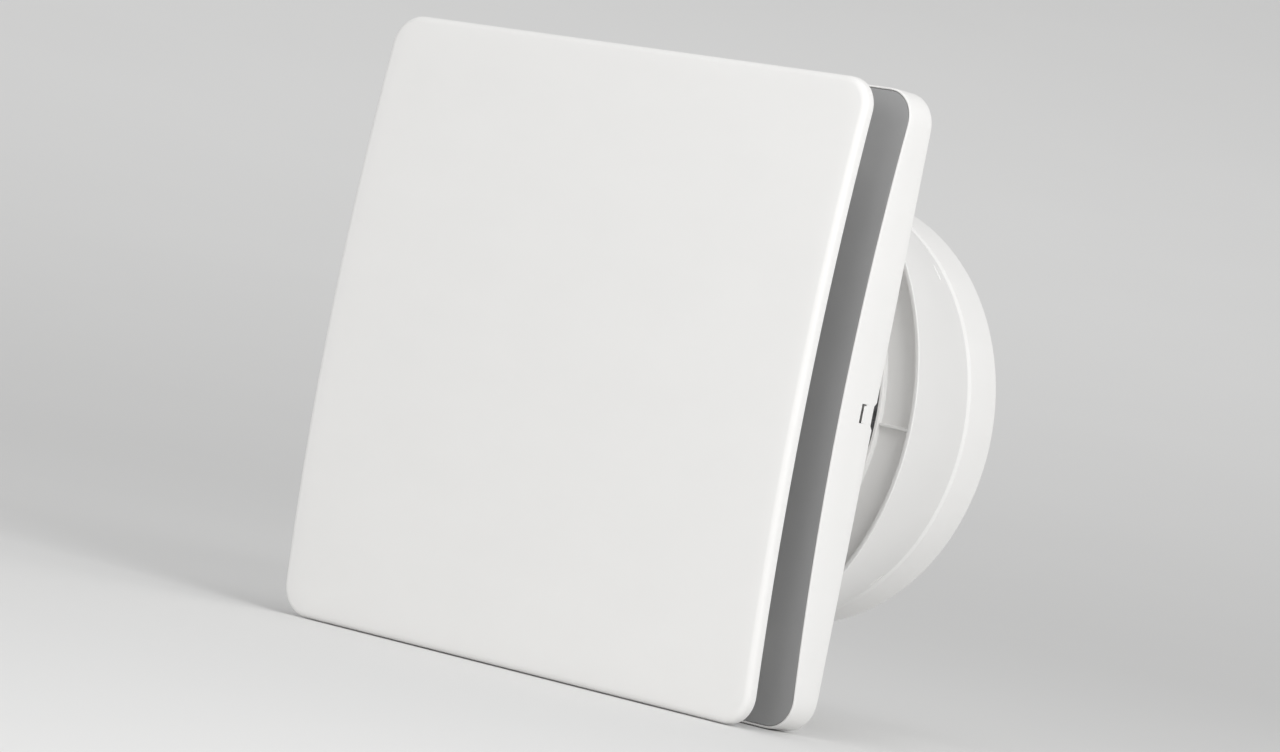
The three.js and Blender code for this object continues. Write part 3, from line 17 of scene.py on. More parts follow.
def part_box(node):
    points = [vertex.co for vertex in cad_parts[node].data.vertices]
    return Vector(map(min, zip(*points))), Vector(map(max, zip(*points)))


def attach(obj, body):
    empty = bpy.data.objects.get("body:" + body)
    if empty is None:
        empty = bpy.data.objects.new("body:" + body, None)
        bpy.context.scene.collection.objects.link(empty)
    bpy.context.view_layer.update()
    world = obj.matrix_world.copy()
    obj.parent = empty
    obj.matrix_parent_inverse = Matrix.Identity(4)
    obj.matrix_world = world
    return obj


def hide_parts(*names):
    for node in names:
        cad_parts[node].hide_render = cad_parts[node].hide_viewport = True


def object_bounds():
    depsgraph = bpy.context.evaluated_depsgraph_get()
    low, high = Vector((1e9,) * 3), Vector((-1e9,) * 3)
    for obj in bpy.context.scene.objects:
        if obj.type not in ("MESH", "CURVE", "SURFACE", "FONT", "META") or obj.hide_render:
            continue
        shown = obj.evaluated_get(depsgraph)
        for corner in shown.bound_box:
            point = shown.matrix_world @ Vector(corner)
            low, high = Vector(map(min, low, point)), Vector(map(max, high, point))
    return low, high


bl_info = {
    "name": "Window Exhaust Fan",
    "version": (1, 0, 0),
    "blender": (4, 5, 0),
    "location": "View3D > Sidebar > Exhaust Fan",
    "description": "Builds the finished pieces of a window exhaust fan over its packed model",
    "category": "Add Mesh",
}

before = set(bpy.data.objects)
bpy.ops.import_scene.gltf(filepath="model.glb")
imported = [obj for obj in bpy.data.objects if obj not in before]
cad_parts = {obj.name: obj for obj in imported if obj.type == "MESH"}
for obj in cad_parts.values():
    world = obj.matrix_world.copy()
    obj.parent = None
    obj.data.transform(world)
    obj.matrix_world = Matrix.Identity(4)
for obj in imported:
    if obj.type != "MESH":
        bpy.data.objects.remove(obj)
CAD_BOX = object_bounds()
MM = 0.001
GAP = 0.3 * MM  # clearance between pieces that touch
SMOOTH_BELOW = math.radians(32)  # edges that turn less than this are shaded smooth
PEG_PLACE = 78 * MM  # from the axis to each of the panel's pegs and to its socket, across and up


def box_size(node):
    """A node's width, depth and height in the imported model."""
    low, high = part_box(node)
    return [high[i] - low[i] for i in range(3)]


# ---- Sizes and colours ----


def length(name, description, default):
    """A property that holds a length in metres."""
    return FloatProperty(
        name=name,
        description=description,
        default=default,
        min=0.0,
        precision=5,
        subtype="DISTANCE",
        unit="LENGTH",
    )


def colour(name, description, default):
    """A property that holds a linear colour."""
    return FloatVectorProperty(
        name=name, description=description, default=default, size=3, min=0, max=1, subtype="COLOR"
    )


class PanelSizes(bpy.types.PropertyGroup):
    """The stand-off front panel."""

    side: length("Side", "Width and height of the panel", box_size("front_panel")[0])
    corner: length("Corner radius", "Radius of the panel's corners", 10.3 * MM)
    front: length("Front at the edges", "From the wall plane to the front, at top and bottom", 34 * MM)
    rise: length("Rise", "How far the middle stands ahead of the top and bottom edges", 5.2 * MM)
    edge: length("Edge depth", "Depth of the turned-back edge", 4.4 * MM)
    skin: length("Skin", "Thickness of the panel's face", 2.4 * MM)
    wall: length("Wall", "Thickness of the turned-back edge", 2.2 * MM)
    rounding: length("Edge rounding", "Radius between the face and the edge", 2.2 * MM)
    peg: length("Peg radius", "Radius of the four pegs", 4 * MM)
    peg_place: length("Peg place", "From the axis to each peg, across and up", PEG_PLACE)
    peg_end: length("Peg end", "From the wall plane to the pegs' ends", 3 * MM)


class HousingSizes(bpy.types.PropertyGroup):
    """The square housing against the wall, its intake plate and its neck."""

    side: length("Side", "Width and height of the housing", box_size("front_frame")[0])
    corner: length("Corner radius", "Radius of the housing's corners", 11 * MM)
    depth: length("Depth", "Depth of the housing at its top and bottom edges", 10.45 * MM)
    rise: length("Rise", "Extra depth at mid height", 6.75 * MM)
    wall: length("Wall", "Thickness of the housing's wall", 2.2 * MM)
    lip: length("Lip", "Wall left outside the intake plate", 0.7 * MM)
    ledge: length("Ledge", "Width of the ledge that the plate sits on", 2 * MM)
    recess: length("Plate recess", "How far the intake plate lies behind the lip", 0.15 * MM)
    plate: length("Plate thickness", "Thickness of the intake plate", 1.8 * MM)
    base: length("Base thickness", "Thickness of the base plate", 2.2 * MM)
    neck: length("Neck radius", "Outer radius of the neck", 71 * MM)
    neck_wall: length("Neck wall", "Thickness of the neck", 2 * MM)
    neck_length: length("Neck length", "From the wall plane to the neck's end", 54 * MM)
    bell: length("Mouth rounding", "Radius of the inlet's rounded mouth", 7 * MM)


class CollarSizes(bpy.types.PropertyGroup):
    """The conical rear collar with its duct spigot."""

    rim: length("Rim radius", "Radius of the wide end", 91.7 * MM)
    rim_place: length("Rim place", "From the wall plane to the rim", 33.2 * MM)
    step_place: length("Step place", "From the wall plane to the step before the spigot", 85.5 * MM)
    end_place: length("End place", "From the wall plane to the spigot's end", 100.5 * MM)
    spigot: length("Spigot radius", "Outer radius of the spigot", 73.8 * MM)
    step: length("Step", "How far the cone's end stands in from the spigot", 0.6 * MM)
    step_length: length("Step length", "Length of the sloped shoulder up to the spigot", 0.9 * MM)
    wall: length("Wall", "Thickness of the cone and spigot", 1.6 * MM)
    sleeve: length("Sleeve bore", "Inner radius of the sleeve that slides on the neck", 74.4 * MM)
    sleeve_wall: length("Sleeve wall", "Thickness of the sleeve", 1.2 * MM)
    sleeve_back: length("Sleeve set back", "From the rim back to the sleeve's face", 2.8 * MM)
    sleeve_length: length("Sleeve length", "Length of the sleeve", 14 * MM)
    web_back: length("Web set back", "From the sleeve's face back to the web that carries it", 1.9 * MM)
    web: length("Web thickness", "Thickness of the web", 1.8 * MM)
    rib: length("Rib thickness", "Thickness of the ribs in the recess", 1 * MM)
    rib_outer: length("Rib set back outside", "From the rim to a rib's front edge, at the cone", 0.4 * MM)
    rib_inner: length("Rib set back inside", "From the rim to a rib's front edge, at the sleeve", 3.6 * MM)
    pin_place: length("Pin place", "From the wall plane to the flaps' pin", 90.5 * MM)
    flap: length("Flap thickness", "Thickness of the backdraught flaps", 1.4 * MM)


class ImpellerSizes(bpy.types.PropertyGroup):
    """The axial impeller."""

    blades: IntProperty(name="Blades", description="Number of blades", default=7, min=3, max=12)
    hub: length("Hub radius", "Radius of the hub", 38 * MM)
    hub_front: length("Hub front", "From the wall plane to the hub's open front edge", 6 * MM)
    hub_back: length("Hub back", "From the wall plane to the hub's closed back", 36 * MM)
    tip: length("Tip radius", "Radius at the blades' tips", 67.8 * MM)
    middle: length("Blade middle", "From the wall plane to the middle of the blades", 19.5 * MM)
    root_chord: length("Root chord", "Width of a blade at the hub", 26 * MM)
    tip_chord: length("Tip chord", "Width of a blade at its tip", 44 * MM)
    thick: length("Thickness", "Thickness of a blade", 2.2 * MM)


class FanColours(bpy.types.PropertyGroup):
    """The finishes' colours."""

    white: colour("White plastic", "Front panel, housing and collar", (0.88, 0.874, 0.862))
    # The intake plate's grey is painted shade: it stands in for the shade that falls in the gap between the
    # front panel and the housing.
    grey: colour("Grey with painted shade", "Intake plate", (0.385, 0.386, 0.388))
    inner: colour("Inner plastic", "Impeller, bracket and flaps", (0.74, 0.735, 0.72))
    foam: colour("Foam", "Gasket and seal", (0.09, 0.09, 0.093))
    rubber: colour("Rubber", "Cable grommet", (0.03, 0.03, 0.031))
    steel: colour("Plated steel", "Screws, shaft, pin and springs", (0.58, 0.58, 0.57))
    motor: colour("Motor case", "Painted case of the motor", (0.16, 0.165, 0.17))
    copper: colour("Copper", "Winding", (0.5, 0.2, 0.08))
    nylon: colour("Nylon", "Terminal block and clamp", (0.72, 0.7, 0.63))
    live: colour("Live lead", "Insulation of the live lead", (0.1, 0.045, 0.02))
    neutral: colour("Neutral lead", "Insulation of the neutral lead", (0.025, 0.11, 0.32))
    floor: colour("Floor", "Floor and backdrop", (0.8, 0.8, 0.795))


# ---- Surfaces ----


def filleted(points, radii, steps=4, closed=True):
    """A profile with its corners rounded: each corner becomes a quadratic curve between the points at the
    fillet's tangent length before and after it, which never takes more than 0.45 of a side."""
    p = np.asarray(points, float)
    r = np.broadcast_to(np.asarray(radii, float), (len(p),))
    before, after = np.roll(p, 1, 0) - p, np.roll(p, -1, 0) - p
    lb, la = np.linalg.norm(before, axis=1), np.linalg.norm(after, axis=1)
    ub, ua = before / lb[:, None], after / la[:, None]
    half = np.arccos(np.clip((ub * ua).sum(1), -1, 1)) / 2
    reach = np.minimum(r / np.maximum(np.tan(half), 1e-6), 0.45 * np.minimum(lb, la))
    if not closed:
        reach[[0, -1]] = 0
    s = np.linspace(0, 1, steps + 1)[None, :, None]
    start, end = (p + ub * reach[:, None])[:, None], (p + ua * reach[:, None])[:, None]
    curve = (1 - s) ** 2 * start + 2 * s * (1 - s) * p[:, None] + s**2 * end
    if not closed:
        return np.concatenate([p[:1], curve[1:-1].reshape(-1, 2), p[-1:]])
    return curve.reshape(-1, 2)


def sheet_of(points, wrap_rows=False, wrap_columns=False):
    """A grid of points (rows, columns, 3) as vertices and quads; either way round can close on itself."""
    rows, columns = points.shape[:2]
    index = np.arange(rows * columns).reshape(rows, columns)
    if wrap_rows:
        index = np.vstack([index, index[:1]])
    if wrap_columns:
        index = np.hstack([index, index[:, :1]])
    quads = np.stack([index[:-1, :-1], index[:-1, 1:], index[1:, 1:], index[1:, :-1]], -1).reshape(-1, 4)
    return outward(points.reshape(-1, 3), quads)


def outward(vertices, faces):
    """The same closed surface, with its faces turned outwards where its signed volume is negative. The
    volume is the sum over the faces of first corner . (diagonal x diagonal) / 6."""
    corners = vertices[faces]
    across = np.cross(corners[:, 1] - corners[:, 0], corners[:, 2] - corners[:, 0])
    volume = (corners[:, 0] * across).sum()
    if faces.shape[1] == 4:
        across = np.cross(corners[:, 2] - corners[:, 0], corners[:, 3] - corners[:, 0])
        volume += (corners[:, 0] * across).sum()
    return vertices, faces if volume > 0 else faces[:, ::-1]


def turned(profile, around=160, centre=(0.0, 0.0), closed=True):
    """A profile of (radius, y) turned about an axis along Y through centre = (x, z):
    x = centre_x + r cos a, z = centre_z + r sin a. An open profile starts and ends on the axis. `around` is
    a number of even steps or the angles themselves."""
    p = np.asarray(profile, float)
    a = np.linspace(0, 2 * np.pi, around, endpoint=False) if np.isscalar(around) else np.asarray(around)
    a = a[:, None]
    x = centre[0] + p[None, :, 0] * np.cos(a)
    z = centre[1] + p[None, :, 0] * np.sin(a)
    y = np.broadcast_to(p[None, :, 1], x.shape)
    return sheet_of(np.stack([x, y, z], -1), wrap_rows=True, wrap_columns=closed)


def ring_block(inner, outer, front, back, rounding, around=160, centre=(0.0, 0.0)):
    """A ring of rectangular section with rounded edges."""
    section = [(inner, front), (outer, front), (outer, back), (inner, back)]
    return turned(filleted(section, rounding), around, centre)


def rod(radius, front, back, rounding, centre=(0.0, 0.0), around=48):
    """A solid round bar along Y with rounded ends."""
    corners = [(0, front), (radius, front), (radius, back), (0, back)]
    return turned(filleted(corners, rounding, closed=False), around, centre, closed=False)


def along(vertices, axis):
    """Turns a shape that was made along Y to lie along another axis: "x" or "z"."""
    order = {"x": (1, 0, 2), "z": (0, 2, 1)}[axis]
    return vertices[:, order]


def laid(part, axis, offset):
    """A part made along Y, laid along another axis and moved."""
    vertices, faces = part
    return outward(along(vertices, axis) + np.asarray(offset), faces)


def block(low, high, rounding):
    """A block with rounded edges: four rounded-rectangle rings along Y, drawn in at both ends."""
    low, high = np.asarray(low, float), np.asarray(high, float)
    middle, half = (low + high) / 2, (high - low) / 2
    corners = np.array([(-1, -1), (1, -1), (1, 1), (-1, 1)], float)
    rings = []
    for inset, y in [(half.min(), -1), (1, -1), (0, -1), (0, 1), (1, 1), (half.min(), 1)]:
        drawn = rounding if inset == 1 else (0 if inset == 0 else min(half[0], half[2]) * 0.999)
        outline = filleted(corners * (half[[0, 2]] - drawn), rounding)
        depth = y * (half[1] - (rounding if inset == 0 else 0))
        rings.append(np.stack([outline[:, 0], np.full(len(outline), depth), outline[:, 1]], -1))
    return sheet_of(np.stack(rings) + middle, wrap_columns=True)


def turn_about_y(part, angle):
    """A part turned about the Y axis so that +X goes towards +Z by the angle."""
    vertices, faces = part
    c, s = math.cos(angle), math.sin(angle)
    x, z = vertices[:, 0], vertices[:, 2]
    return np.stack([c * x - s * z, vertices[:, 1], s * x + c * z], -1), faces


def inside(points, loop):
    """Even-odd test of points (n, 2) against a closed loop (m, 2)."""
    a, b = loop, np.roll(loop, -1, 0)
    x, y = points[:, :1], points[:, 1:]
    crosses = (a[:, 1] > y) != (b[:, 1] > y)
    rise = np.where(b[:, 1] == a[:, 1], 1e-12, b[:, 1] - a[:, 1])
    return (crosses & (x < a[:, 0] + (y - a[:, 1]) / rise * (b[:, 0] - a[:, 0]))).sum(1) % 2 == 1


def slab(loops, front, back, edge):
    """A flat plate in the XZ plane with holes: the first loop is its outline and the others are holes.
    Each loop is a wall of four rings, drawn into the material by `edge` at both faces, and the faces are
    filled between the drawn-in loops."""
    rings, fills, quads, start = [], [], [], 0
    for k, loop in enumerate(loops):
        p = np.asarray(loop, float)
        area = (p[:, 0] * np.roll(p[:, 1], -1) - np.roll(p[:, 0], -1) * p[:, 1]).sum()
        if (area > 0) != (k == 0):
            p = p[::-1]
        ahead = np.roll(p, -1, 0) - p
        ahead /= np.linalg.norm(ahead, axis=1)[:, None]
        left = np.stack([-ahead[:, 1], ahead[:, 0]], -1)
        mean = left + np.roll(left, 1, 0)
        mean /= np.maximum((mean * mean).sum(1), 0.5)[:, None] / 2
        drawn = p + mean * edge
        n = len(p)
        for outline, y in [(drawn, front), (p, front + edge), (p, back - edge), (drawn, back)]:
            rings.append(np.stack([outline[:, 0], np.full(n, y), outline[:, 1]], -1))
        ring = np.arange(n)
        for i in range(3):
            a, b = start + i * n + ring, start + (i + 1) * n + ring
            quads.append(np.stack([a, b, np.roll(b, -1), np.roll(a, -1)], -1))
        fills.append((drawn, start, start + 3 * n))
        start += 4 * n
    flat = np.concatenate([f[0] for f in fills])
    at_front = np.concatenate([f[1] + np.arange(len(f[0])) for f in fills])
    at_back = np.concatenate([f[2] + np.arange(len(f[0])) for f in fills])
    edges, first = [], 0
    for f in fills:
        ring = first + np.arange(len(f[0]))
        edges += np.stack([ring, np.roll(ring, -1)], -1).tolist()
        first += len(f[0])
    _, _, triangles, origin, _, _ = delaunay_2d_cdt([Vector(v) for v in flat.tolist()], edges, [], 1, 1e-9)
    source = np.array([ids[0] for ids in origin])
    triangles = source[np.array(triangles)]
    middles = flat[triangles].mean(1)
    keep = inside(middles, fills[0][0])
    for hole in fills[1:]:
        keep &= ~inside(middles, hole[0])
    triangles = triangles[keep]
    faces = np.concatenate([np.concatenate(quads)[:, [0, 1, 2]], np.concatenate(quads)[:, [0, 2, 3]]])
    faces = np.concatenate([faces, at_back[triangles], at_front[triangles][:, ::-1]])
    return outward(np.concatenate(rings), faces)


def circle(radius, centre=(0.0, 0.0), count=64):
    """A round loop in the XZ plane."""
    a = np.linspace(0, 2 * np.pi, count, endpoint=False)
    return np.stack([centre[0] + radius * np.cos(a), centre[1] + radius * np.sin(a)], -1)


def square_loop(half, radius, cuts=(), per_corner=12, per_side=32):
    """A round-cornered square as two arrays: the places of the corner centres or side points on an inner
    square of half - radius, and the outward normals. A ring drawn in by d is places + normals (radius - d).
    `cuts` are heights at which the left and right sides get a point."""
    inner = half - radius
    arc = np.linspace(0, np.pi / 2, per_corner + 1)
    level = np.linspace(-inner, inner, per_side + 1)[1:-1]
    upright = np.unique(np.concatenate([level, np.asarray(cuts, float)]))
    places, normals = [], []
    for turn, run in enumerate([level[::-1], upright[::-1], level, upright]):
        start = turn * np.pi / 2
        corner = np.array([[1, 1], [-1, 1], [-1, -1], [1, -1]][turn], float) * inner
        places.append(np.tile(corner, (len(arc), 1)))
        normals.append(np.stack([np.cos(start + arc), np.sin(start + arc)], -1))
        normal = np.round([math.cos(start + np.pi / 2), math.sin(start + np.pi / 2)])
        fixed = np.full(len(run), (normal * inner)[1 - turn % 2])
        places.append(np.stack([fixed, run] if turn % 2 else [run, fixed], -1))
        normals.append(np.tile(normal, (len(run), 1)))
    return np.concatenate(places), np.concatenate(normals)


def bowed(rise, half):
    """How far a bowed front stands ahead of its ends at height z: rise (1 - (z / half)^2)."""
    return lambda z: rise * (1 - (z / half) ** 2)


def ring_at(loop, radius, inset, y_of, shrink=1.0):
    """One ring of a round-cornered square: drawn in by `inset`, shrunk towards the axis, at y = y_of(z)."""
    places, normals = loop
    flat = (places + normals * (radius - inset)) * shrink
    y = np.broadcast_to(y_of(flat[:, 1]), (len(flat),))
    return np.stack([flat[:, 0], y, flat[:, 1]], -1)


# ---- Putting pieces into the scene ----


def piece(name, parts, finish, body, nodes):
    """Joins closed parts into one object at the origin, shades it, gives it its finish, and has it ride on
    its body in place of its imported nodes."""
    vertices = np.concatenate([v for v, _ in parts])
    starts = np.cumsum([0] + [len(v) for v, _ in parts[:-1]])
    faces = [face for (_, f), start in zip(parts, starts) for face in (f + start).tolist()]
    mesh = bpy.data.meshes.new(name)
    mesh.from_pydata(vertices.tolist(), [], faces)
    work = bmesh.new()
    work.from_mesh(mesh)
    bmesh.ops.remove_doubles(work, verts=work.verts, dist=1e-7)
    bmesh.ops.dissolve_degenerate(work, edges=work.edges, dist=1e-8)
    work.to_mesh(mesh)
    work.free()
    mesh.shade_smooth()
    mesh.set_sharp_from_angle(angle=SMOOTH_BELOW)
    mesh.materials.append(finish)
    thing = bpy.data.objects.new(name, mesh)
    bpy.context.scene.collection.objects.link(thing)
    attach(thing, body)
    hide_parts(*nodes)
    return thing


def dress(nodes, finish):
    """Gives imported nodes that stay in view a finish."""
    for name in nodes:
        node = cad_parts[name]
        node.data.materials.clear()
        node.data.materials.append(finish)


# ---- Finishes ----


class Finish:
    """A material's nodes on Object coordinates, wired one after another to a Principled shader."""

    def __init__(self, name, **constants):
        self.material = bpy.data.materials.new(name)
        self.material.use_nodes = True
        self.nodes = self.material.node_tree.nodes
        self.links = self.material.node_tree.links
        self.shader = self.nodes["Principled BSDF"]
        for socket, value in constants.items():
            self.shader.inputs[socket.replace("_", " ").title().replace("Ior", "IOR")].default_value = value
        self.place = self.nodes.new("ShaderNodeTexCoord").outputs["Object"]

    def noise(self, scale, detail=3.0, roughness=0.5, stretch=(1, 1, 1)):
        """Noise at so many grains a metre, stretched along an axis by a Mapping node."""
        mapping = self.nodes.new("ShaderNodeMapping")
        mapping.inputs["Scale"].default_value = stretch
        self.links.new(self.place, mapping.inputs["Vector"])
        node = self.nodes.new("ShaderNodeTexNoise")
        node.inputs["Scale"].default_value = scale
        node.inputs["Detail"].default_value = detail
        node.inputs["Roughness"].default_value = roughness
        self.links.new(mapping.outputs["Vector"], node.inputs["Vector"])
        return node.outputs["Fac"]

    def cells(self, scale):
        """Voronoi cells, for foam."""
        node = self.nodes.new("ShaderNodeTexVoronoi")
        node.inputs["Scale"].default_value = scale
        self.links.new(self.place, node.inputs["Vector"])
        return node.outputs["Distance"]

    def spread(self, value, low, high):
        """Maps 0.3 to 0.7 of a texture on to low to high."""
        node = self.nodes.new("ShaderNodeMapRange")
        node.inputs["From Min"].default_value = 0.3
        node.inputs["From Max"].default_value = 0.7
        node.inputs["To Min"].default_value = low
        node.inputs["To Max"].default_value = high
        self.links.new(value, node.inputs["Value"])
        return node.outputs["Result"]

    def base(self, value, dark, light):
        """Base colour between two colours, by a texture."""
        node = self.nodes.new("ShaderNodeMix")
        node.data_type = "RGBA"
        node.inputs["A"].default_value = (*dark, 1)
        node.inputs["B"].default_value = (*light, 1)
        self.links.new(self.spread(value, 0, 1), node.inputs["Factor"])
        self.links.new(node.outputs["Result"], self.shader.inputs["Base Color"])

    def rough(self, value, low, high):
        """Roughness between two values, by a texture."""
        self.links.new(self.spread(value, low, high), self.shader.inputs["Roughness"])

    def bumps(self, *layers):
        """Bump layers (texture, strength, height), each one on top of the last."""
        before = None
        for value, strength, height in layers:
            node = self.nodes.new("ShaderNodeBump")
            node.inputs["Strength"].default_value = strength
            node.inputs["Distance"].default_value = height
            self.links.new(value, node.inputs["Height"])
            if before:
                self.links.new(before, node.inputs["Normal"])
            before = node.outputs["Normal"]
        self.links.new(before, self.shader.inputs["Normal"])


def tinted(colour, factor):
    """A colour made lighter or darker by a factor."""
    return tuple(min(1.0, c * factor) for c in colour)


def moulded_plastic(name, colour, roughness, grain, variation):
    """Moulded plastic: fine spark-eroded grain, faint flow marks in gloss and slow unevenness of the skin."""
    finish = Finish(name, specular_ior_level=0.5, ior=1.48)
    fine = finish.noise(2600, 2, 0.6)
    flow = finish.noise(26, 3, 0.5, (1.0, 1.0, 2.2))
    slow = finish.noise(9, 1, 0.4)
    finish.base(flow, tinted(colour, 1 - variation), tinted(colour, 1 + variation * 0.5))
    finish.rough(flow, roughness - 0.03, roughness + 0.04)
    finish.bumps((slow, 0.12, 0.6 * MM), (fine, grain, 0.08 * MM))
    return finish.material


def closed_cell_foam(name, colour):
    """Foam: small cells, matt and dark."""
    finish = Finish(name, specular_ior_level=0.25)
    cells = finish.cells(1500)
    mottle = finish.noise(400, 4, 0.6)
    finish.base(mottle, tinted(colour, 0.6), tinted(colour, 2.0))
    finish.rough(mottle, 0.85, 0.98)
    finish.bumps((mottle, 0.4, 0.2 * MM), (cells, 0.7, 0.3 * MM))
    return finish.material


def soft_rubber(name, colour):
    """Rubber: matt, with a faint bloom."""
    finish = Finish(name, specular_ior_level=0.4)
    bloom = finish.noise(300, 4, 0.6)
    finish.base(bloom, tinted(colour, 0.8), tinted(colour, 1.5))
    finish.rough(bloom, 0.55, 0.75)
    finish.bumps((finish.noise(2500, 2), 0.1, 0.08 * MM))
    return finish.material


def plated_steel(name, colour, roughness):
    """Zinc-plated steel: fine drawn lines, blotchy gloss and a slight tint."""
    finish = Finish(name, metallic=1.0)
    blotch = finish.noise(350, 4, 0.6)
    lines = finish.noise(900, 3, 0.6, (1.0, 9.0, 1.0))
    finish.base(blotch, tinted(colour, 0.82), tinted(colour, 1.08))
    finish.rough(blotch, roughness - 0.06, roughness + 0.1)
    finish.bumps((lines, 0.12, 0.04 * MM))
    return finish.material


def painted_case(name, colour):
    """Baked paint over pressed sheet: orange-peel skin, satin."""
    finish = Finish(name, specular_ior_level=0.5, coat_weight=0.15, coat_roughness=0.3)
    peel = finish.noise(700, 2, 0.5)
    tone = finish.noise(40, 3, 0.5)
    finish.base(tone, tinted(colour, 0.88), tinted(colour, 1.12))
    finish.rough(tone, 0.42, 0.55)
    finish.bumps((peel, 0.15, 0.1 * MM))
    return finish.material


def wound_copper(name, colour):
    """Enamelled wire in even turns: narrow ridges round the winding."""
    finish = Finish(name, metallic=1.0, coat_weight=0.5, coat_roughness=0.15)
    turns = finish.noise(700, 1, 0.4, (1.0, 0.15, 1.0))
    finish.base(turns, tinted(colour, 0.7), tinted(colour, 1.15))
    finish.rough(turns, 0.25, 0.4)
    finish.bumps((turns, 0.5, 0.3 * MM))
    return finish.material


def finish_for(slot):
    """The finish of one of the record's material slots, made once."""
    tint = bpy.context.scene.fan_colours
    name = "fan_" + slot
    if name in bpy.data.materials:
        return bpy.data.materials[name]
    makers = {
        "white": lambda: moulded_plastic(name, tint.white, 0.48, 0.05, 0.008),
        # Painted shade: this grey finish stands in for the shade in the gap behind the front panel.
        "grey": lambda: moulded_plastic(name, tint.grey, 0.45, 0.12, 0.02),
        "inner": lambda: moulded_plastic(name, tint.inner, 0.42, 0.1, 0.02),
        "foam": lambda: closed_cell_foam(name, tint.foam),
        "rubber": lambda: soft_rubber(name, tint.rubber),
        "steel": lambda: plated_steel(name, tint.steel, 0.3),
        "core": lambda: painted_case(name, tint.motor),
        "copper": lambda: wound_copper(name, tint.copper),
        "nylon": lambda: moulded_plastic(name, tint.nylon, 0.5, 0.08, 0.03),
        "brown": lambda: moulded_plastic(name, tint.live, 0.45, 0.05, 0.05),
        "blue": lambda: moulded_plastic(name, tint.neutral, 0.45, 0.05, 0.05),
    }
    return makers[slot]()


# ---- The front panel ----


CORNERS = [(1, 1), (-1, 1), (-1, -1), (1, -1)]
EDGE_ROUNDING = 0.5 * MM
PEG_ROUNDING = 0.7 * MM
PEG_SKIRT_WIDTH, PEG_SKIRT_DEPTH = 1.6 * MM, 2.2 * MM


class FAN_OT_front_panel(bpy.types.Operator):
    """Builds the bowed front panel with its turned-back edge and its four pegs"""

    bl_idname = "fan.front_panel"
    bl_label = "Front panel"

    def execute(self, context):
        s = context.scene.fan_panel
        piece("panel_shell", panel_parts(s), finish_for("white"), "panel", ["front_panel"])
        return {"FINISHED"}


def panel_parts(s):
    """The shell is one closed surface of rings, all round-cornered squares on y = -(front + bow(z)) + offset:
    rings that grow from the axis, a quarter round, the edge, and the same again inside it, back to the axis.
    The bow is rise (1 - (z / half)^2)."""
    half = s.side / 2
    loop = square_loop(half, s.corner)
    bow = bowed(s.rise, half)

    def at(offset):
        return lambda z: -(s.front + bow(z)) + offset

    grow = np.linspace(0, 1, 26)[:-1]
    quarter = np.linspace(0, np.pi / 2, 7)
    r = s.rounding
    small = EDGE_ROUNDING

    def ring(inset, offset, shrink=1.0):
        return ring_at(loop, s.corner, inset, at(offset), shrink)

    turns = [(1 - math.sin(a), 1 - math.cos(a)) for a in quarter]
    rows = [ring(r, 0, k) for k in grow]
    rows += [ring(r * u, r * v) for u, v in turns]
    rows += [ring(small * v, s.edge - small * u) for u, v in turns]
    rows += [ring(s.wall - small * u, s.edge - small * v) for u, v in turns]
    rows += [ring(s.wall + r * v, s.skin + r * u) for u, v in turns]
    rows += [ring(s.wall + r, s.skin, k) for k in grow[::-1]]
    parts = [sheet_of(np.stack(rows), wrap_columns=True)]
    face = -(s.front + bow(s.peg_place)) + s.skin / 2
    for sx, sz in CORNERS:
        centre = (sx * s.peg_place, sz * s.peg_place)
        parts.append(rod(s.peg, face, -s.peg_end, PEG_ROUNDING, centre))
        foot = face + s.skin / 2
        top = foot + PEG_SKIRT_DEPTH
        inside_peg = s.peg - EDGE_ROUNDING
        skirt = [(inside_peg, foot), (s.peg + PEG_SKIRT_WIDTH, foot), (s.peg, top), (inside_peg, top)]
        parts.append(turned(filleted(skirt, EDGE_ROUNDING), 48, centre))
    return parts


# ---- The housing ----


class FAN_OT_housing(bpy.types.Operator):
    """Builds the housing's frame, its intake plate with the round inlet, the base plate and the neck"""

    bl_idname = "fan.housing"
    bl_label = "Housing"

    def execute(self, context):
        s = context.scene.fan_housing
        white, grey = finish_for("white"), finish_for("grey")
        piece("housing_frame", frame_parts(s), white, "base", ["front_frame"])
        # The intake plate gets the grey with painted shade, for the shade in the gap behind the panel.
        piece("intake_face", intake_parts(s), grey, "base", ["intake_plate"])
        piece("base_back", base_parts(s), white, "base", ["base_plate"])
        piece("neck_tube", neck_parts(s), white, "base", ["neck"])
        return {"FINISHED"}


SLOT_BACK, SLOT_FRONT = -3.8 * MM, -7.4 * MM
SLOT_LOW, SLOT_HIGH = -2.8 * MM, 3.3 * MM
NOTCH_HALF, NOTCH_SLOPE, NOTCH_DEPTH = 4.3 * MM, 1.2 * MM, 1.0 * MM
LIP_ROUNDING = 0.25 * MM
LEDGE_THICK = 1.5 * MM


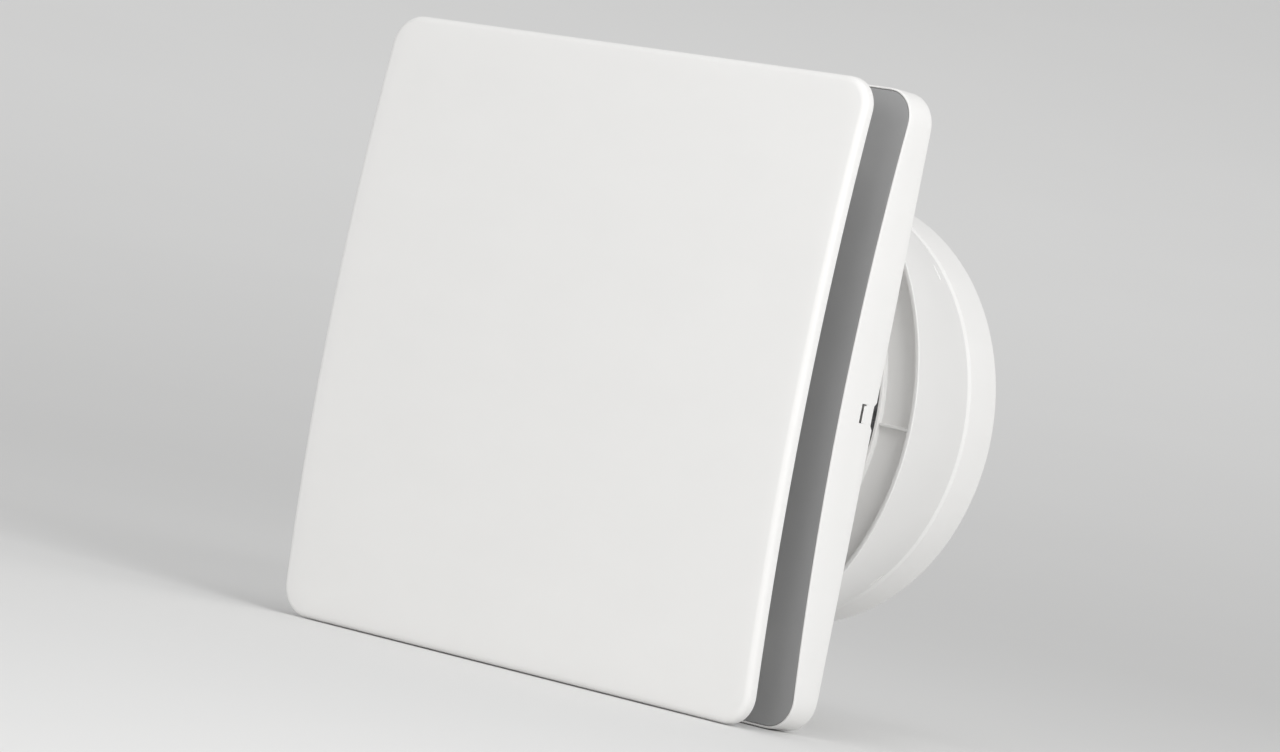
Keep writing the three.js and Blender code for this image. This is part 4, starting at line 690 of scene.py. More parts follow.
def frame_parts(s):
    """The frame's wall is a closed section carried round the square: up its outer side, over the front lip,
    down to the ledge that the plate sits on, and back inside. Rings that follow the front are at
    y = -(depth + bow(z)) + offset, and rings at the back are flat. The left and right walls have a latch
    slot, whose cells are left out and joined by four reveals, and a notch with sloped ends in the rear
    edge."""
    half = s.side / 2
    floor_half = NOTCH_HALF - NOTCH_SLOPE
    cuts = [SLOT_LOW, SLOT_HIGH, -NOTCH_HALF, -floor_half, floor_half, NOTCH_HALF]
    loop = square_loop(half, s.corner, cuts)
    bow = bowed(s.rise, half)

    def front(offset):
        return lambda z: -(s.depth + bow(z)) + offset

    def back(y):
        return lambda z: y + 0 * z

    def ring(inset, y_of):
        return ring_at(loop, s.corner, inset, y_of)

    turns = [(1 - math.sin(a), 1 - math.cos(a)) for a in np.linspace(0, np.pi / 2, 5)]
    r, tiny = EDGE_ROUNDING, LIP_ROUNDING
    seat = s.recess + s.plate + GAP
    under = seat + LEDGE_THICK
    way = s.wall + s.ledge
    rows = [ring(r * u, back(-r * v)) for u, v in turns]
    outer_back = len(rows)
    rows += [ring(0, back(SLOT_BACK)), ring(0, back(SLOT_FRONT))]
    rows += [ring(r * v, front(r * u)) for u, v in turns]
    rows += [ring(s.lip - tiny * u, front(tiny * v)) for u, v in turns]
    rows += [ring(s.lip, front(seat)), ring(way, front(seat))]
    rows += [ring(way, front(under)), ring(s.wall, front(under))]
    inner_front = len(rows)
    rows += [ring(s.wall, back(SLOT_FRONT)), ring(s.wall, back(SLOT_BACK))]
    rows += [ring(s.wall - tiny * v, back(-tiny * u)) for u, v in turns]
    points = np.stack(rows)
    z = points[:, :, 2]
    at_side = np.abs(np.abs(loop[1][:, 0]) - 1) < 1e-9
    notch = np.clip((NOTCH_HALF - np.abs(z)) / NOTCH_SLOPE, 0, 1) * at_side[None, :]
    near_back = np.zeros(len(rows), bool)
    near_back[:outer_back] = near_back[-len(turns):] = True
    points[:, :, 1] -= NOTCH_DEPTH * notch * near_back[:, None]

    count, columns = points.shape[:2]
    index = np.arange(count * columns).reshape(count, columns)
    closed = np.vstack([index, index[:1]])
    closed = np.hstack([closed, closed[:, :1]])
    quads = np.stack([closed[:-1, :-1], closed[:-1, 1:], closed[1:, 1:], closed[1:, :-1]], -1)
    height = loop[0][:, 1] + loop[1][:, 1] * s.corner
    middle = (height + np.roll(height, -1)) / 2
    both_side = at_side & np.roll(at_side, -1)
    in_slot = both_side & (middle > SLOT_LOW) & (middle < SLOT_HIGH)
    keep = np.ones((count, columns), bool)
    keep[outer_back, in_slot] = False
    keep[inner_front, in_slot] = False
    faces = [quads[keep]]
    for sign in (1, -1):
        run = np.flatnonzero(in_slot & (loop[1][:, 0] * sign > 0.5))
        line = np.append(run, run[-1] + 1) % columns
        rim = [(outer_back, inner_front + 1), (outer_back + 1, inner_front)]
        for k, (outer, inner) in enumerate(rim):
            a, b = index[outer, line], index[inner, line]
            reveal = np.stack([a[:-1], b[:-1], b[1:], a[1:]], -1)
            faces.append(reveal if k == 0 else reveal[:, ::-1])
        for k, j in enumerate((line[0], line[-1])):
            reveal = index[[outer_back, outer_back + 1, inner_front, inner_front + 1], j][None]
            faces.append(reveal if k == 0 else reveal[:, ::-1])
    return [outward(points.reshape(-1, 3), np.concatenate(faces))]


PLATE_SEAM = 0.08 * MM
PLATE_ROUNDING = 0.3 * MM
INLET_SPACE = 2.2 * MM  # from the mouth to the hole in the plate
MOUTH_BACK = -10.1 * MM
MOUTH_THICK = 1.8 * MM
SOCKET_BORE, SOCKET_OUT, SOCKET_END = 4.3 * MM, 5.8 * MM, -2.5 * MM


def intake_parts(s):
    """The plate's face runs from its square edge to the inlet: a ring is (1 - t) square + t circle. The
    inlet's mouth is a lip with a quarter round that leads into the neck. Four sockets stand behind the
    plate for the panel's pegs."""
    half = s.side / 2 - s.lip - PLATE_SEAM
    corner = s.corner - s.lip - PLATE_SEAM
    loop = square_loop(half, corner, per_side=40)
    bow = bowed(s.rise, s.side / 2)
    bore = s.neck - s.neck_wall
    mouth = bore + s.bell
    places, normals = loop
    edge = places + normals * (corner - PLATE_ROUNDING)
    angle = np.arctan2(edge[:, 1], edge[:, 0])
    hole = (mouth + INLET_SPACE) * np.stack([np.cos(angle), np.sin(angle)], -1)
    front, back = s.recess, s.recess + s.plate

    def at(offset):
        return lambda z: -(s.depth + bow(z)) + offset

    def face(offset):
        flats = [(1 - t) * edge + t * hole for t in np.linspace(0, 1, 20)]
        return [np.stack([flat[:, 0], at(offset)(flat[:, 1]), flat[:, 1]], -1) for flat in flats]

    side = [ring_at(loop, corner, 0, at(y)) for y in (back - PLATE_ROUNDING, front + PLATE_ROUNDING)]
    rows = side + face(front) + face(back)[::-1]
    parts = [sheet_of(np.stack(rows), wrap_rows=True, wrap_columns=True)]

    bell_inner = s.bell - MOUTH_THICK
    q = np.linspace(0, np.pi / 2, 14)
    outer = [(mouth - s.bell * math.sin(a), MOUTH_BACK - s.bell * math.cos(a)) for a in q]
    inner = [(mouth - bell_inner * math.cos(a), MOUTH_BACK - bell_inner * math.sin(a)) for a in q]
    lip = [
        (mouth + 1.2 * MM, MOUTH_BACK - bell_inner),
        (mouth + 1.2 * MM, MOUTH_BACK),
        (mouth + 3 * MM, MOUTH_BACK),
        (mouth + 3 * MM, MOUTH_BACK - s.bell + 0.6 * MM),
        (mouth + 2.4 * MM, MOUTH_BACK - s.bell),
    ]
    parts.append(turned(np.array(outer + inner + lip), 192))
    start = -(s.depth + bow(PEG_PLACE)) + back - 0.6 * MM
    for sx, sz in CORNERS:
        centre = (sx * PEG_PLACE, sz * PEG_PLACE)
        parts.append(ring_block(SOCKET_BORE, SOCKET_OUT, start, SOCKET_END, 0.3 * MM, 48, centre))
    return parts


EARS = [math.radians(a) for a in (45, 135, 225, 315)]
LEAD_EAR = EARS[2]
EAR_R = 85 * MM
PLATE_SCREWS = [(sx * 70 * MM, sz * 88 * MM) for sx, sz in CORNERS]
WALL_HOLES = [(sx * 50 * MM, sz * 90 * MM) for sx, sz in CORNERS]
WALL_HOLE_R = 2.3 * MM
SCREW_HOLE_R, BOSS_R = 1.8 * MM, 4 * MM
BOSS_ROOT = -1.1 * MM  # inside the base plate
EAR_BOSS_TOP, PLATE_BOSS_TOP = -5.5 * MM, -9.1 * MM
SLOT_PLAY = 0.03 * MM
TONGUE, POST, TOOTH = 1.6 * MM, 0.6 * MM, 0.25 * MM
TOOTH_FRONT, TOOTH_TOP = SLOT_FRONT + 1.35 * MM, 2.8 * MM
TOOTH_SHOULDER, SHOULDER_LOW = SLOT_FRONT + 2.4 * MM, 2.5 * MM
TOOTH_SEAT = SLOT_BACK + 0.4 * MM  # runs on behind the slot's rear edge
BOX_LOW, BOX_HIGH = (-97.5 * MM, -11.2 * MM, -38 * MM), (-83.5 * MM, BOSS_ROOT, -10 * MM)
BOX_WALL, BOX_SILL = 1.2 * MM, -5.8 * MM
COVER_SCREW = (-90.5 * MM, -7.2 * MM)
CLAMP_SCREWS = [(-88.5 * MM, z) for z in (-67.5 * MM, -52.5 * MM)]


def base_parts(s):
    """The base plate is a slab with four wall holes and the neck's round hole. Bosses carry the screws. A
    box of four walls holds the terminals."""
    corner = s.corner - s.wall - GAP
    places, normals = square_loop(s.side / 2 - s.wall - GAP, corner, per_side=8)
    holes = [circle(WALL_HOLE_R, centre, 32) for centre in WALL_HOLES]
    loops = [places + normals * corner, circle(s.neck + GAP, count=160), *holes]
    parts = [slab(loops, -s.base, 0, 0.3 * MM)]
    bosses = [((EAR_R * math.cos(a), EAR_R * math.sin(a)), EAR_BOSS_TOP) for a in EARS]
    bosses += [(centre, PLATE_BOSS_TOP) for centre in PLATE_SCREWS]
    for centre, top in bosses:
        parts.append(ring_block(SCREW_HOLE_R, BOSS_R, top, BOSS_ROOT, 0.3 * MM, 40, centre))
    parts += latch_parts(s)
    (x0, y0, z0), (x1, y1, z1) = BOX_LOW, BOX_HIGH
    for low, high in [
        ((x0, y0, z0), (x0 + BOX_WALL, y1, z1)),
        ((x1 - BOX_WALL, y0, z0), (x1, y1, z1)),
        ((x0, y0, z1 - BOX_WALL), (x1, y1, z1)),
        ((x0, BOX_SILL, z0), (x1, y1, z0 + BOX_WALL)),
    ]:
        parts.append(block(low, high, 0.2 * MM))
    parts.append(ring_block(1.5 * MM, 3.4 * MM, y0, y1, 0.3 * MM, 32, COVER_SCREW))
    for centre in CLAMP_SCREWS:
        parts.append(ring_block(1.4 * MM, 2.2 * MM, -4.6 * MM, y1, 0.2 * MM, 32, centre))
    return parts


def latch_parts(s):
    """A latch stands behind each side slot: a tongue on the base plate, a post, and a thin tooth that lies
    flush in the slot, whose upper front corner is cut back. It leaves a gap at its front and its top."""
    inner, skin = s.side / 2 - s.wall - GAP, s.side / 2 - SLOT_PLAY
    back = SLOT_BACK - SLOT_PLAY
    low, high = SLOT_LOW + SLOT_PLAY, SLOT_HIGH - SLOT_PLAY
    sunk = skin - 0.01 * MM
    parts = []
    for sign in (1, -1):
        for x0, x1, y0, y1, z0, z1 in [
            (inner - TONGUE, inner, back - POST, BOSS_ROOT, SLOT_LOW, SLOT_HIGH),
            (inner - TONGUE / 2, skin - 0.12 * MM, back - POST, TOOTH_SEAT, low, high),
            (skin - TOOTH, skin, TOOTH_FRONT, TOOTH_SEAT, low, TOOTH_TOP),
            (sunk - TOOTH, sunk, TOOTH_SHOULDER, TOOTH_SEAT, SHOULDER_LOW, high),
        ]:
            x0, x1 = sorted((sign * x0, sign * x1))
            parts.append(block((x0, y0, z0), (x1, y1, z1), 0.08 * MM))
    return parts


FLANGE_WIDTH, FLANGE_THICK = 3 * MM, 3 * MM


def neck_parts(s):
    """The neck is one turned section: a tube with a flange at its front end, which lies on the base plate."""
    bore, flange = s.neck - s.neck_wall, s.neck + FLANGE_WIDTH
    ahead = s.base + GAP + FLANGE_THICK
    corners = [(bore, -ahead), (flange, -ahead), (flange, -s.base - GAP), (s.neck, -s.base - GAP)]
    corners += [(s.neck, s.neck_length), (bore, s.neck_length)]
    return [turned(filleted(corners, np.array([0.5, 0.5, 0.4, 0.2, 0.6, 0.6]) * MM), 192)]


# ---- The motor and its bracket ----


BRACKET_FRONT, BRACKET_BACK, CUP_BACK = -9.8 * MM, -5.8 * MM, -3 * MM
CUP_R, CUP_WALL, CUP_FLOOR = 33 * MM, 1.6 * MM, 2 * MM
RING_IN, RING_OUT = 69.3 * MM, 74 * MM
ARM_IN, ARM_OUT, ARM_HALF = 31.5 * MM, 69.8 * MM, 3.5 * MM
EAR_IN, EAR_OUT, EYE_OUT = 69 * MM, 81.5 * MM, 4.4 * MM
GROOVE_FLOOR, GROOVE_HALF = -7.4 * MM, 2.5 * MM
CASE_R, CASE_WALL, CASE_HOLE = 30 * MM, 1.6 * MM, 4 * MM
CASE_FRONT, CASE_BACK, CASE_SPLIT = -7.5 * MM, 27.5 * MM, 10 * MM
SHAFT_R, SHAFT_FRONT, SHAFT_BACK = 3 * MM, -5.6 * MM, 42.3 * MM


class FAN_OT_motor(bpy.types.Operator):
    """Builds the motor's bracket with its cup and arms, and the motor's pressed case and shaft"""

    bl_idname = "fan.motor"
    bl_label = "Motor"

    def execute(self, context):
        inner, case, steel = finish_for("inner"), finish_for("core"), finish_for("steel")
        piece("motor_carrier", bracket_parts(), inner, "base", ["motor_bracket"])
        front = motor_case_parts(CASE_FRONT, CASE_SPLIT - GAP / 2)
        rear = motor_case_parts(CASE_BACK, CASE_SPLIT + GAP / 2)
        piece("motor_case_front", front, case, "base", ["motor_housing_front"])
        piece("motor_case_rear", rear, case, "base", ["motor_housing_rear"])
        shaft = [rod(SHAFT_R, SHAFT_FRONT, SHAFT_BACK, 0.5 * MM)]
        piece("shaft", shaft, steel, "rotor", ["motor_shaft"])
        dress(["stator_core", "rotor_core"], case)
        dress(["stator_winding"], finish_for("copper"))
        dress(["front_bearing", "rear_bearing"], steel)
        return {"FINISHED"}


def bracket_parts():
    """A ring on the neck, a shallow cup for the motor, four arms between them on the diagonals, and four
    ears with screw eyes. The ring, cup and eyes are turned; the arms are rounded blocks. The lower left
    arm carries the leads in a groove between two rails."""
    front, floor = BRACKET_FRONT, BRACKET_FRONT + CUP_FLOOR
    inner = CUP_R - CUP_WALL
    cup = [(0, front), (CUP_R, front), (CUP_R, CUP_BACK), (inner, CUP_BACK), (inner, floor), (0, floor)]
    parts = [ring_block(RING_IN, RING_OUT, front, BRACKET_BACK, 0.5 * MM, 192)]
    parts.append(turned(filleted(cup, 0.8 * MM, closed=False), 128, closed=False))
    plain = [((ARM_IN, front, -ARM_HALF), (ARM_OUT, CUP_BACK, ARM_HALF), 0.8 * MM)]
    rail_back = GROOVE_FLOOR + 0.4 * MM
    grooved = [
        ((ARM_IN, GROOVE_FLOOR, -ARM_HALF), (ARM_OUT, CUP_BACK, ARM_HALF), 0.4 * MM),
        ((ARM_IN, front, -ARM_HALF), (ARM_OUT, rail_back, -GROOVE_HALF), 0.4 * MM),
        ((ARM_IN, front, GROOVE_HALF), (ARM_OUT, rail_back, ARM_HALF), 0.4 * MM),
    ]
    ear = ((EAR_IN, front, -ARM_HALF), (EAR_OUT, BRACKET_BACK, ARM_HALF), 0.8 * MM)
    for a in EARS:
        for low, high, rounding in (grooved if a == LEAD_EAR else plain) + [ear]:
            parts.append(turn_about_y(block(low, high, rounding), a))
        centre = (EAR_R * math.cos(a), EAR_R * math.sin(a))
        parts.append(ring_block(SCREW_HOLE_R, EYE_OUT, front, BRACKET_BACK, 0.4 * MM, 40, centre))
    return parts


def motor_case_parts(end, split):
    """Half of the motor's case: a pressed cup with a rounded shoulder and a hole for the shaft."""
    inner = CASE_R - CASE_WALL
    floor = end + math.copysign(CASE_WALL, split - end)
    outside = [(CASE_HOLE, end), (CASE_R, end), (CASE_R, split)]
    corners = outside + [(inner, split), (inner, floor), (CASE_HOLE, floor)]
    radii = np.array([0.3, 3, 0.3, 0.3, 2, 0.3]) * MM
    return [turned(filleted(corners, radii, 8), 128)]


# ---- The impeller ----


HUB_WALL = 2.4 * MM
HUB_BORE, HUB_BOSS = 3.3 * MM, 6.5 * MM
ROOT_PITCH, TIP_PITCH = 46, 26  # degrees
CAMBER = 0.07  # of the chord
BLADE_START = 5  # degrees
NUT_R, NUT_BORE = 5.6 * MM, 3.2 * MM
NUT_FRONT, NUT_BACK = 36.3 * MM, 40.3 * MM


class FAN_OT_impeller(bpy.types.Operator):
    """Builds the impeller: a cup-shaped hub with twisted, cambered blades, and its nut"""

    bl_idname = "fan.impeller"
    bl_label = "Impeller"

    def execute(self, context):
        s = context.scene.fan_impeller
        parts = hub_parts(s) + blade_parts(s)
        piece("impeller_wheel", parts, finish_for("inner"), "rotor", ["impeller"])
        piece("wheel_nut", nut_parts(), finish_for("steel"), "rotor", ["impeller_nut"])
        return {"FINISHED"}


def hub_parts(s):
    """The hub is a cup open to the front, with a rounded back and a bore for the shaft."""
    floor, boss = s.hub_back - HUB_WALL, s.hub_back - 3 * HUB_WALL
    corners = [
        (HUB_BORE, boss),
        (HUB_BOSS, boss),
        (HUB_BOSS, floor),
        (s.hub - HUB_WALL, floor),
        (s.hub - HUB_WALL, s.hub_front),
        (s.hub, s.hub_front),
        (s.hub, s.hub_back),
        (HUB_BORE, s.hub_back),
    ]
    radii = np.array([0.3, 0.3, 1, 2.5, 0.5, 0.5, 4, 0.5]) * MM
    return [turned(filleted(corners, radii, 8), 160)]


def blade_parts(s):
    """A blade is its section carried from the hub to the tip. At radius r the section's chord and pitch are
    interpolated, its camber is CAMBER chord (1 - 4 u^2), and the point (along, off) is laid round the axis:
    angle = (along cos p - off sin p) / r, y = middle + along sin p + off cos p. The section's two sides
    are +-thickness (1.15 - 3 u^2) / 2 with round edges."""
    t = np.linspace(0, 2 * np.pi, 48, endpoint=False)
    u = 0.5 * np.cos(t)
    side = np.sign(np.sin(t)) * np.minimum(1.15 - 3 * u**2, 1.6 * np.abs(np.sin(t)) ** 0.5) * s.thick / 2
    root = s.hub - 0.8 * MM
    share = np.linspace(0, 1, 26)[:, None]
    radius = root + (s.tip - root) * share
    full = np.clip((s.tip - radius) / (0.9 * MM), 0, 1)
    fall = np.sqrt(np.clip(1 - (1 - full) ** 2, 0, 1))
    reach = (radius - root) / (s.tip + 4 * MM - root)
    chord = s.root_chord + (s.tip_chord - s.root_chord) * reach
    pitch = np.radians(ROOT_PITCH + (TIP_PITCH - ROOT_PITCH) * reach)
    along_chord = -u[None, :] * (chord - 1.2 * MM * (1 - fall))
    off = side[None, :] * np.maximum(fall, 0.05) + CAMBER * (1 - 4 * u[None, :] ** 2) * chord
    around = (along_chord * np.cos(pitch) - off * np.sin(pitch)) / radius
    y = s.middle + along_chord * np.sin(pitch) + off * np.cos(pitch)
    parts = []
    for i in range(s.blades):
        a = around - math.radians(BLADE_START) - 2 * np.pi * i / s.blades
        grid = np.stack([radius * np.cos(a), y, radius * np.sin(a)], -1)
        ends = [np.broadcast_to(grid[k].mean(0), (1, *grid[k].shape)) for k in (0, -1)]
        parts.append(sheet_of(np.concatenate([ends[0], grid, ends[1]]), wrap_columns=True))
    return parts


def nut_parts():
    """A hexagon nut, chamfered round at its crown. A row is the smaller of the hexagon, whose radius is
    r cos 30 / cos(angle from the nearest flat's middle), and a circle of a share of r."""
    a = np.linspace(0, 2 * np.pi, 96, endpoint=False)
    flat = NUT_R * math.cos(math.pi / 6) / np.cos((a + np.pi / 6) % (np.pi / 3) - np.pi / 6)
    bore = np.full(len(a), NUT_BORE)
    crown = [(1.0, 0.6 * MM), (0.95, 0.15 * MM), (0.86, 0)]
    rows = [(bore, NUT_FRONT), (np.minimum(flat, NUT_R), NUT_FRONT)]
    rows += [(np.minimum(flat, NUT_R * share), NUT_BACK - below) for share, below in crown]
    rows += [(bore, NUT_BACK)]
    rings = [np.stack([r * np.cos(a), np.full(len(a), y), r * np.sin(a)], -1) for r, y in rows]
    return [sheet_of(np.stack(rings), wrap_rows=True, wrap_columns=True)]


# ---- The rear collar ----


class FAN_OT_collar(bpy.types.Operator):
    """Builds the conical collar with its sleeve, ribs, marks, duct spigot and flap seat"""

    bl_idname = "fan.collar"
    bl_label = "Rear collar"

    def execute(self, context):
        s = context.scene.fan_collar
        piece("collar_shell", collar_parts(s), finish_for("white"), "collar", ["rear_collar"])
        return {"FINISHED"}


ROUNDING_STEPS = 5
RIB_TURN = 1.3  # degrees that the ribs stand off the middle lines
RIB_ROOT = 0.4 * MM  # how far a rib runs into the web and the cone
MARKS = [(42, 75.6 * MM), (138, 75.6 * MM), (-44.5, 81 * MM), (-135.5, 81 * MM)]  # degrees, and place along Y
MARK_ARC = 5.0  # degrees round the cone
MARK_WIDTH, MARK_DEPTH, MARK_SOFT = 1.8 * MM, 0.5 * MM, 0.3 * MM
SEAT_WIDTH, SEAT_THICK = 2.6 * MM, 1.8 * MM
MULLION_HALF, MULLION_THICK, MULLION_SPACE = 5.5 * MM, 1.4 * MM, 3.3 * MM
PIN_BOSS_BORE, PIN_BOSS_R, PIN_BOSS_LENGTH = 1.8 * MM, 3.4 * MM, 4 * MM


def cone_slope(s):
    """How much the cone's radius falls for each length along Y."""
    return (s.rim - (s.spigot - s.step)) / (s.step_place - s.rim_place)


def cone_radius(s, y):
    """Outer radius of the cone at y: a straight line from the rim to the step."""
    return s.rim - cone_slope(s) * (y - s.rim_place)


def cone_bore_place(s, radius):
    """Where along Y the cone's bore has a radius."""
    return s.rim_place + (s.rim - s.wall - radius) / cone_slope(s)


def collar_parts(s):
    """The shell is one closed section turned about the duct axis: the cone, a small step, the spigot, and
    back inside to a flat web that carries the sleeve. It has more rows and columns where the marks are.
    Ribs, the flaps' seat, the mullion and the pin's bosses are closed parts that run into it."""
    bore = s.spigot - s.wall
    sleeve_out = s.sleeve + s.sleeve_wall
    face = s.rim_place + s.sleeve_back
    web_front = face + s.web_back
    web_rear = web_front + s.web
    neck_in = bore - s.step
    corners = [
        # radius, y, rounding
        (s.rim, s.rim_place, 0.45 * MM),
        (s.spigot - s.step, s.step_place - 0.4 * MM, 0.9 * MM),
        (s.spigot, s.step_place + s.step_length, 0.9 * MM),
        (s.spigot, s.end_place, 0.5 * MM),
        (bore, s.end_place, 0.4 * MM),
        (bore, s.step_place, 0.3 * MM),
        (neck_in, cone_bore_place(s, neck_in), 0.3 * MM),
        (cone_radius(s, web_rear) - s.wall, web_rear, 0.8 * MM),
        (sleeve_out, web_rear, 0.6 * MM),
        (sleeve_out, face + s.sleeve_length, 0.4 * MM),
        (s.sleeve, face + s.sleeve_length, 0.4 * MM),
        (s.sleeve, face, 0.3 * MM),
        (sleeve_out, face, 0.45 * MM),
        (sleeve_out, web_front, 0.4 * MM),
        (cone_radius(s, web_front) - s.wall, web_front, 0.8 * MM),
        (s.rim - s.wall, s.rim_place, 0.4 * MM),
    ]
    corners, radii = np.array(corners)[:, :2], np.array(corners)[:, 2]
    profile = filleted(corners, radii, ROUNDING_STEPS)
    rows = np.linspace(s.step_place - 13 * MM, s.step_place - 1.5 * MM, 60)
    cone_rows = np.stack([cone_radius(s, rows), rows], -1)
    profile = np.concatenate([profile[: ROUNDING_STEPS + 1], cone_rows, profile[ROUNDING_STEPS + 1 :]])
    spread = np.radians(np.linspace(-MARK_ARC, MARK_ARC, 40))
    angles = [np.linspace(0, 2 * np.pi, 240, endpoint=False)]
    angles += [math.radians(a) + spread for a, _ in MARKS]
    parts = [marked(s, turned(profile, np.unique(np.concatenate(angles) % (2 * np.pi))))]
    parts += rib_parts(s, sleeve_out)
    seat_back = s.pin_place - s.flap / 2 - GAP
    seat = ring_block(bore - SEAT_WIDTH, bore + 0.6 * MM, seat_back - SEAT_THICK, seat_back, 0.35 * MM, 192)
    parts.append(seat)
    back = s.pin_place - MULLION_SPACE
    reach = bore + 0.3 * MM
    low, high = (-MULLION_HALF, back - MULLION_THICK, -reach), (MULLION_HALF, back, reach)
    parts.append(block(low, high, 0.4 * MM))
    boss = ring_block(PIN_BOSS_BORE, PIN_BOSS_R, bore - PIN_BOSS_LENGTH, bore + 0.2 * MM, 0.3 * MM, 40)
    for sign in (1, -1):
        vertices, faces = laid(boss, "z", (0, 0, 0))
        vertices = vertices * [1, 1, sign] + [0, s.pin_place, 0]
        parts.append(outward(vertices, faces))
    return parts


def rib_parts(s, sleeve_out):
    """A rib is a thin gusset on the web, from the sleeve to the cone: four corners in the (radius, y) plane,
    with its front edge sloping forward to the rim, drawn in a little at both sides."""
    half, soft = s.rib / 2, 0.15 * MM
    low = s.rim_place + s.sleeve_back + s.web_back + RIB_ROOT
    front = s.rim_place + s.rib_outer
    inner = sleeve_out - 0.3 * MM
    profile = np.array(
        [
            (inner, s.rim_place + s.rib_inner),
            (inner, low),
            (cone_radius(s, low) - s.wall + RIB_ROOT, low),
            (cone_radius(s, front) - s.wall + RIB_ROOT, front),
        ]
    )
    middle = np.tile(profile.mean(0), (4, 1))
    drawn = profile + [0, soft]
    rows = [(middle, -half), (drawn, -half), (profile, soft - half)]
    rows += [(ring, -offset) for ring, offset in rows[::-1]]
    rings = [np.stack([ring[:, 0], ring[:, 1], np.full(4, offset)], -1) for ring, offset in rows]
    part = sheet_of(np.stack(rings), wrap_columns=True)
    return [turn_about_y(part, math.radians(angle - RIB_TURN)) for angle in (0, 90, 180, 270)]


def marked(s, part):
    """Sinks the marks into the cone's outer side. At a mark the skin is drawn in by depth u v, where u and v
    rise from 0 at the mark's edge to 1 at the soft edge's width inside it, round and along the cone."""
    points, faces = part
    radius = np.hypot(points[:, 0], points[:, 2])
    angle = np.arctan2(points[:, 2], points[:, 0])
    skin = np.abs(radius - cone_radius(s, points[:, 1])) < 0.01 * MM
    half_round = cone_radius(s, s.step_place) * math.radians(MARK_ARC) / 2
    sunk = np.zeros(len(points))
    for degrees, place in MARKS:
        turn = (angle - math.radians(degrees) + np.pi) % (2 * np.pi) - np.pi
        u = np.clip((half_round - np.abs(turn * radius)) / MARK_SOFT, 0, 1)
        v = np.clip((MARK_WIDTH / 2 - np.abs(points[:, 1] - place)) / MARK_SOFT, 0, 1)
        sunk = np.maximum(sunk, MARK_DEPTH * u * v)
    scale = 1 - skin * sunk / np.maximum(radius, MM)
    return points * np.stack([scale, np.ones(len(points)), scale], -1), faces


# ---- The backdraught flaps ----


PIN_R, PIN_ROUNDING = 1.5 * MM, 0.4 * MM
FLAP_INNER, FLAP_PLAY, FLAP_STRAIGHT = 3.7 * MM, 1 * MM, 6 * MM
SPRING_NOTCH_X, SPRING_NOTCH_Z = 10 * MM, 11.2 * MM
KNUCKLE_BORE, KNUCKLE_R = 1.8 * MM, 3 * MM
KNUCKLES = [(12 * MM, 30 * MM), (-50 * MM, -32 * MM)]
CURLS, CURL_STEPS = 5, 32
WIRE, WIRE_STEPS = 0.8 * MM, 12
CURL_PITCH, CURL_R, SPRING_LEG = 1.35 * MM, 2.5 * MM, 12 * MM
FIRST_CURL = 2.6 * MM


class FAN_OT_flaps(bpy.types.Operator):
    """Builds the two backdraught flaps with their knuckles, their springs and the pin they swing on"""

    bl_idname = "fan.flaps"
    bl_label = "Backdraught flaps"

    def execute(self, context):
        s = context.scene.fan_collar
        steel, inner = finish_for("steel"), finish_for("inner")
        right, coil = flap_parts(s), spring_parts(s)
        piece("flap_right", right, inner, "flap_right", ["damper_flap_right"])
        piece("flap_left", half_turned(right), inner, "flap_left", ["damper_flap_left"])
        piece("spring_right", coil, steel, "flap_right", ["damper_spring_right"])
        piece("spring_left", half_turned(coil), steel, "flap_left", ["damper_spring_left"])
        reach = s.spigot - s.wall - PIN_BOSS_LENGTH / 3
        pin = laid(rod(PIN_R, -reach, reach, PIN_ROUNDING), "z", (0, s.pin_place, 0))
        piece("flap_pin", [pin], steel, "collar", ["damper_pin"])
        return {"FINISHED"}


def half_turned(parts):
    """Parts turned half round the duct axis."""
    return [(v * [-1, 1, -1], f) for v, f in parts]


def flap_parts(s):
    """The right flap: a half-round slab with a notch for the springs, and two knuckles on the pin, each with
    a web that joins it to the slab."""
    bore = s.spigot - s.wall
    rim_r = bore - FLAP_PLAY
    end = bore - FLAP_STRAIGHT
    inner, notch_x, notch_z = FLAP_INNER, SPRING_NOTCH_X, SPRING_NOTCH_Z
    clear_x = min(5.4 * MM, math.sqrt(rim_r**2 - end**2))
    start = math.acos(clear_x / rim_r)
    a = np.linspace(-start, start, 96)
    rim = np.stack([rim_r * np.cos(a), rim_r * np.sin(a)], -1)
    notch = [(inner, notch_z), (notch_x, notch_z), (notch_x, -notch_z), (inner, -notch_z)]
    below, above = [(inner, -end), (clear_x, -end)], [(clear_x, end), (inner, end)]
    outline = np.concatenate([notch, below, rim, above])
    front, back = s.pin_place - s.flap / 2, s.pin_place + s.flap / 2
    parts = [slab([outline], front, back, 0.2 * MM)]
    for low, high in KNUCKLES:
        knuckle = ring_block(KNUCKLE_BORE, KNUCKLE_R, low, high, 0.3 * MM, 48)
        parts.append(laid(knuckle, "z", (0, s.pin_place, 0)))
        parts.append(block((1.9 * MM, front, low), (5.7 * MM, back, high), 0.2 * MM))
    return parts


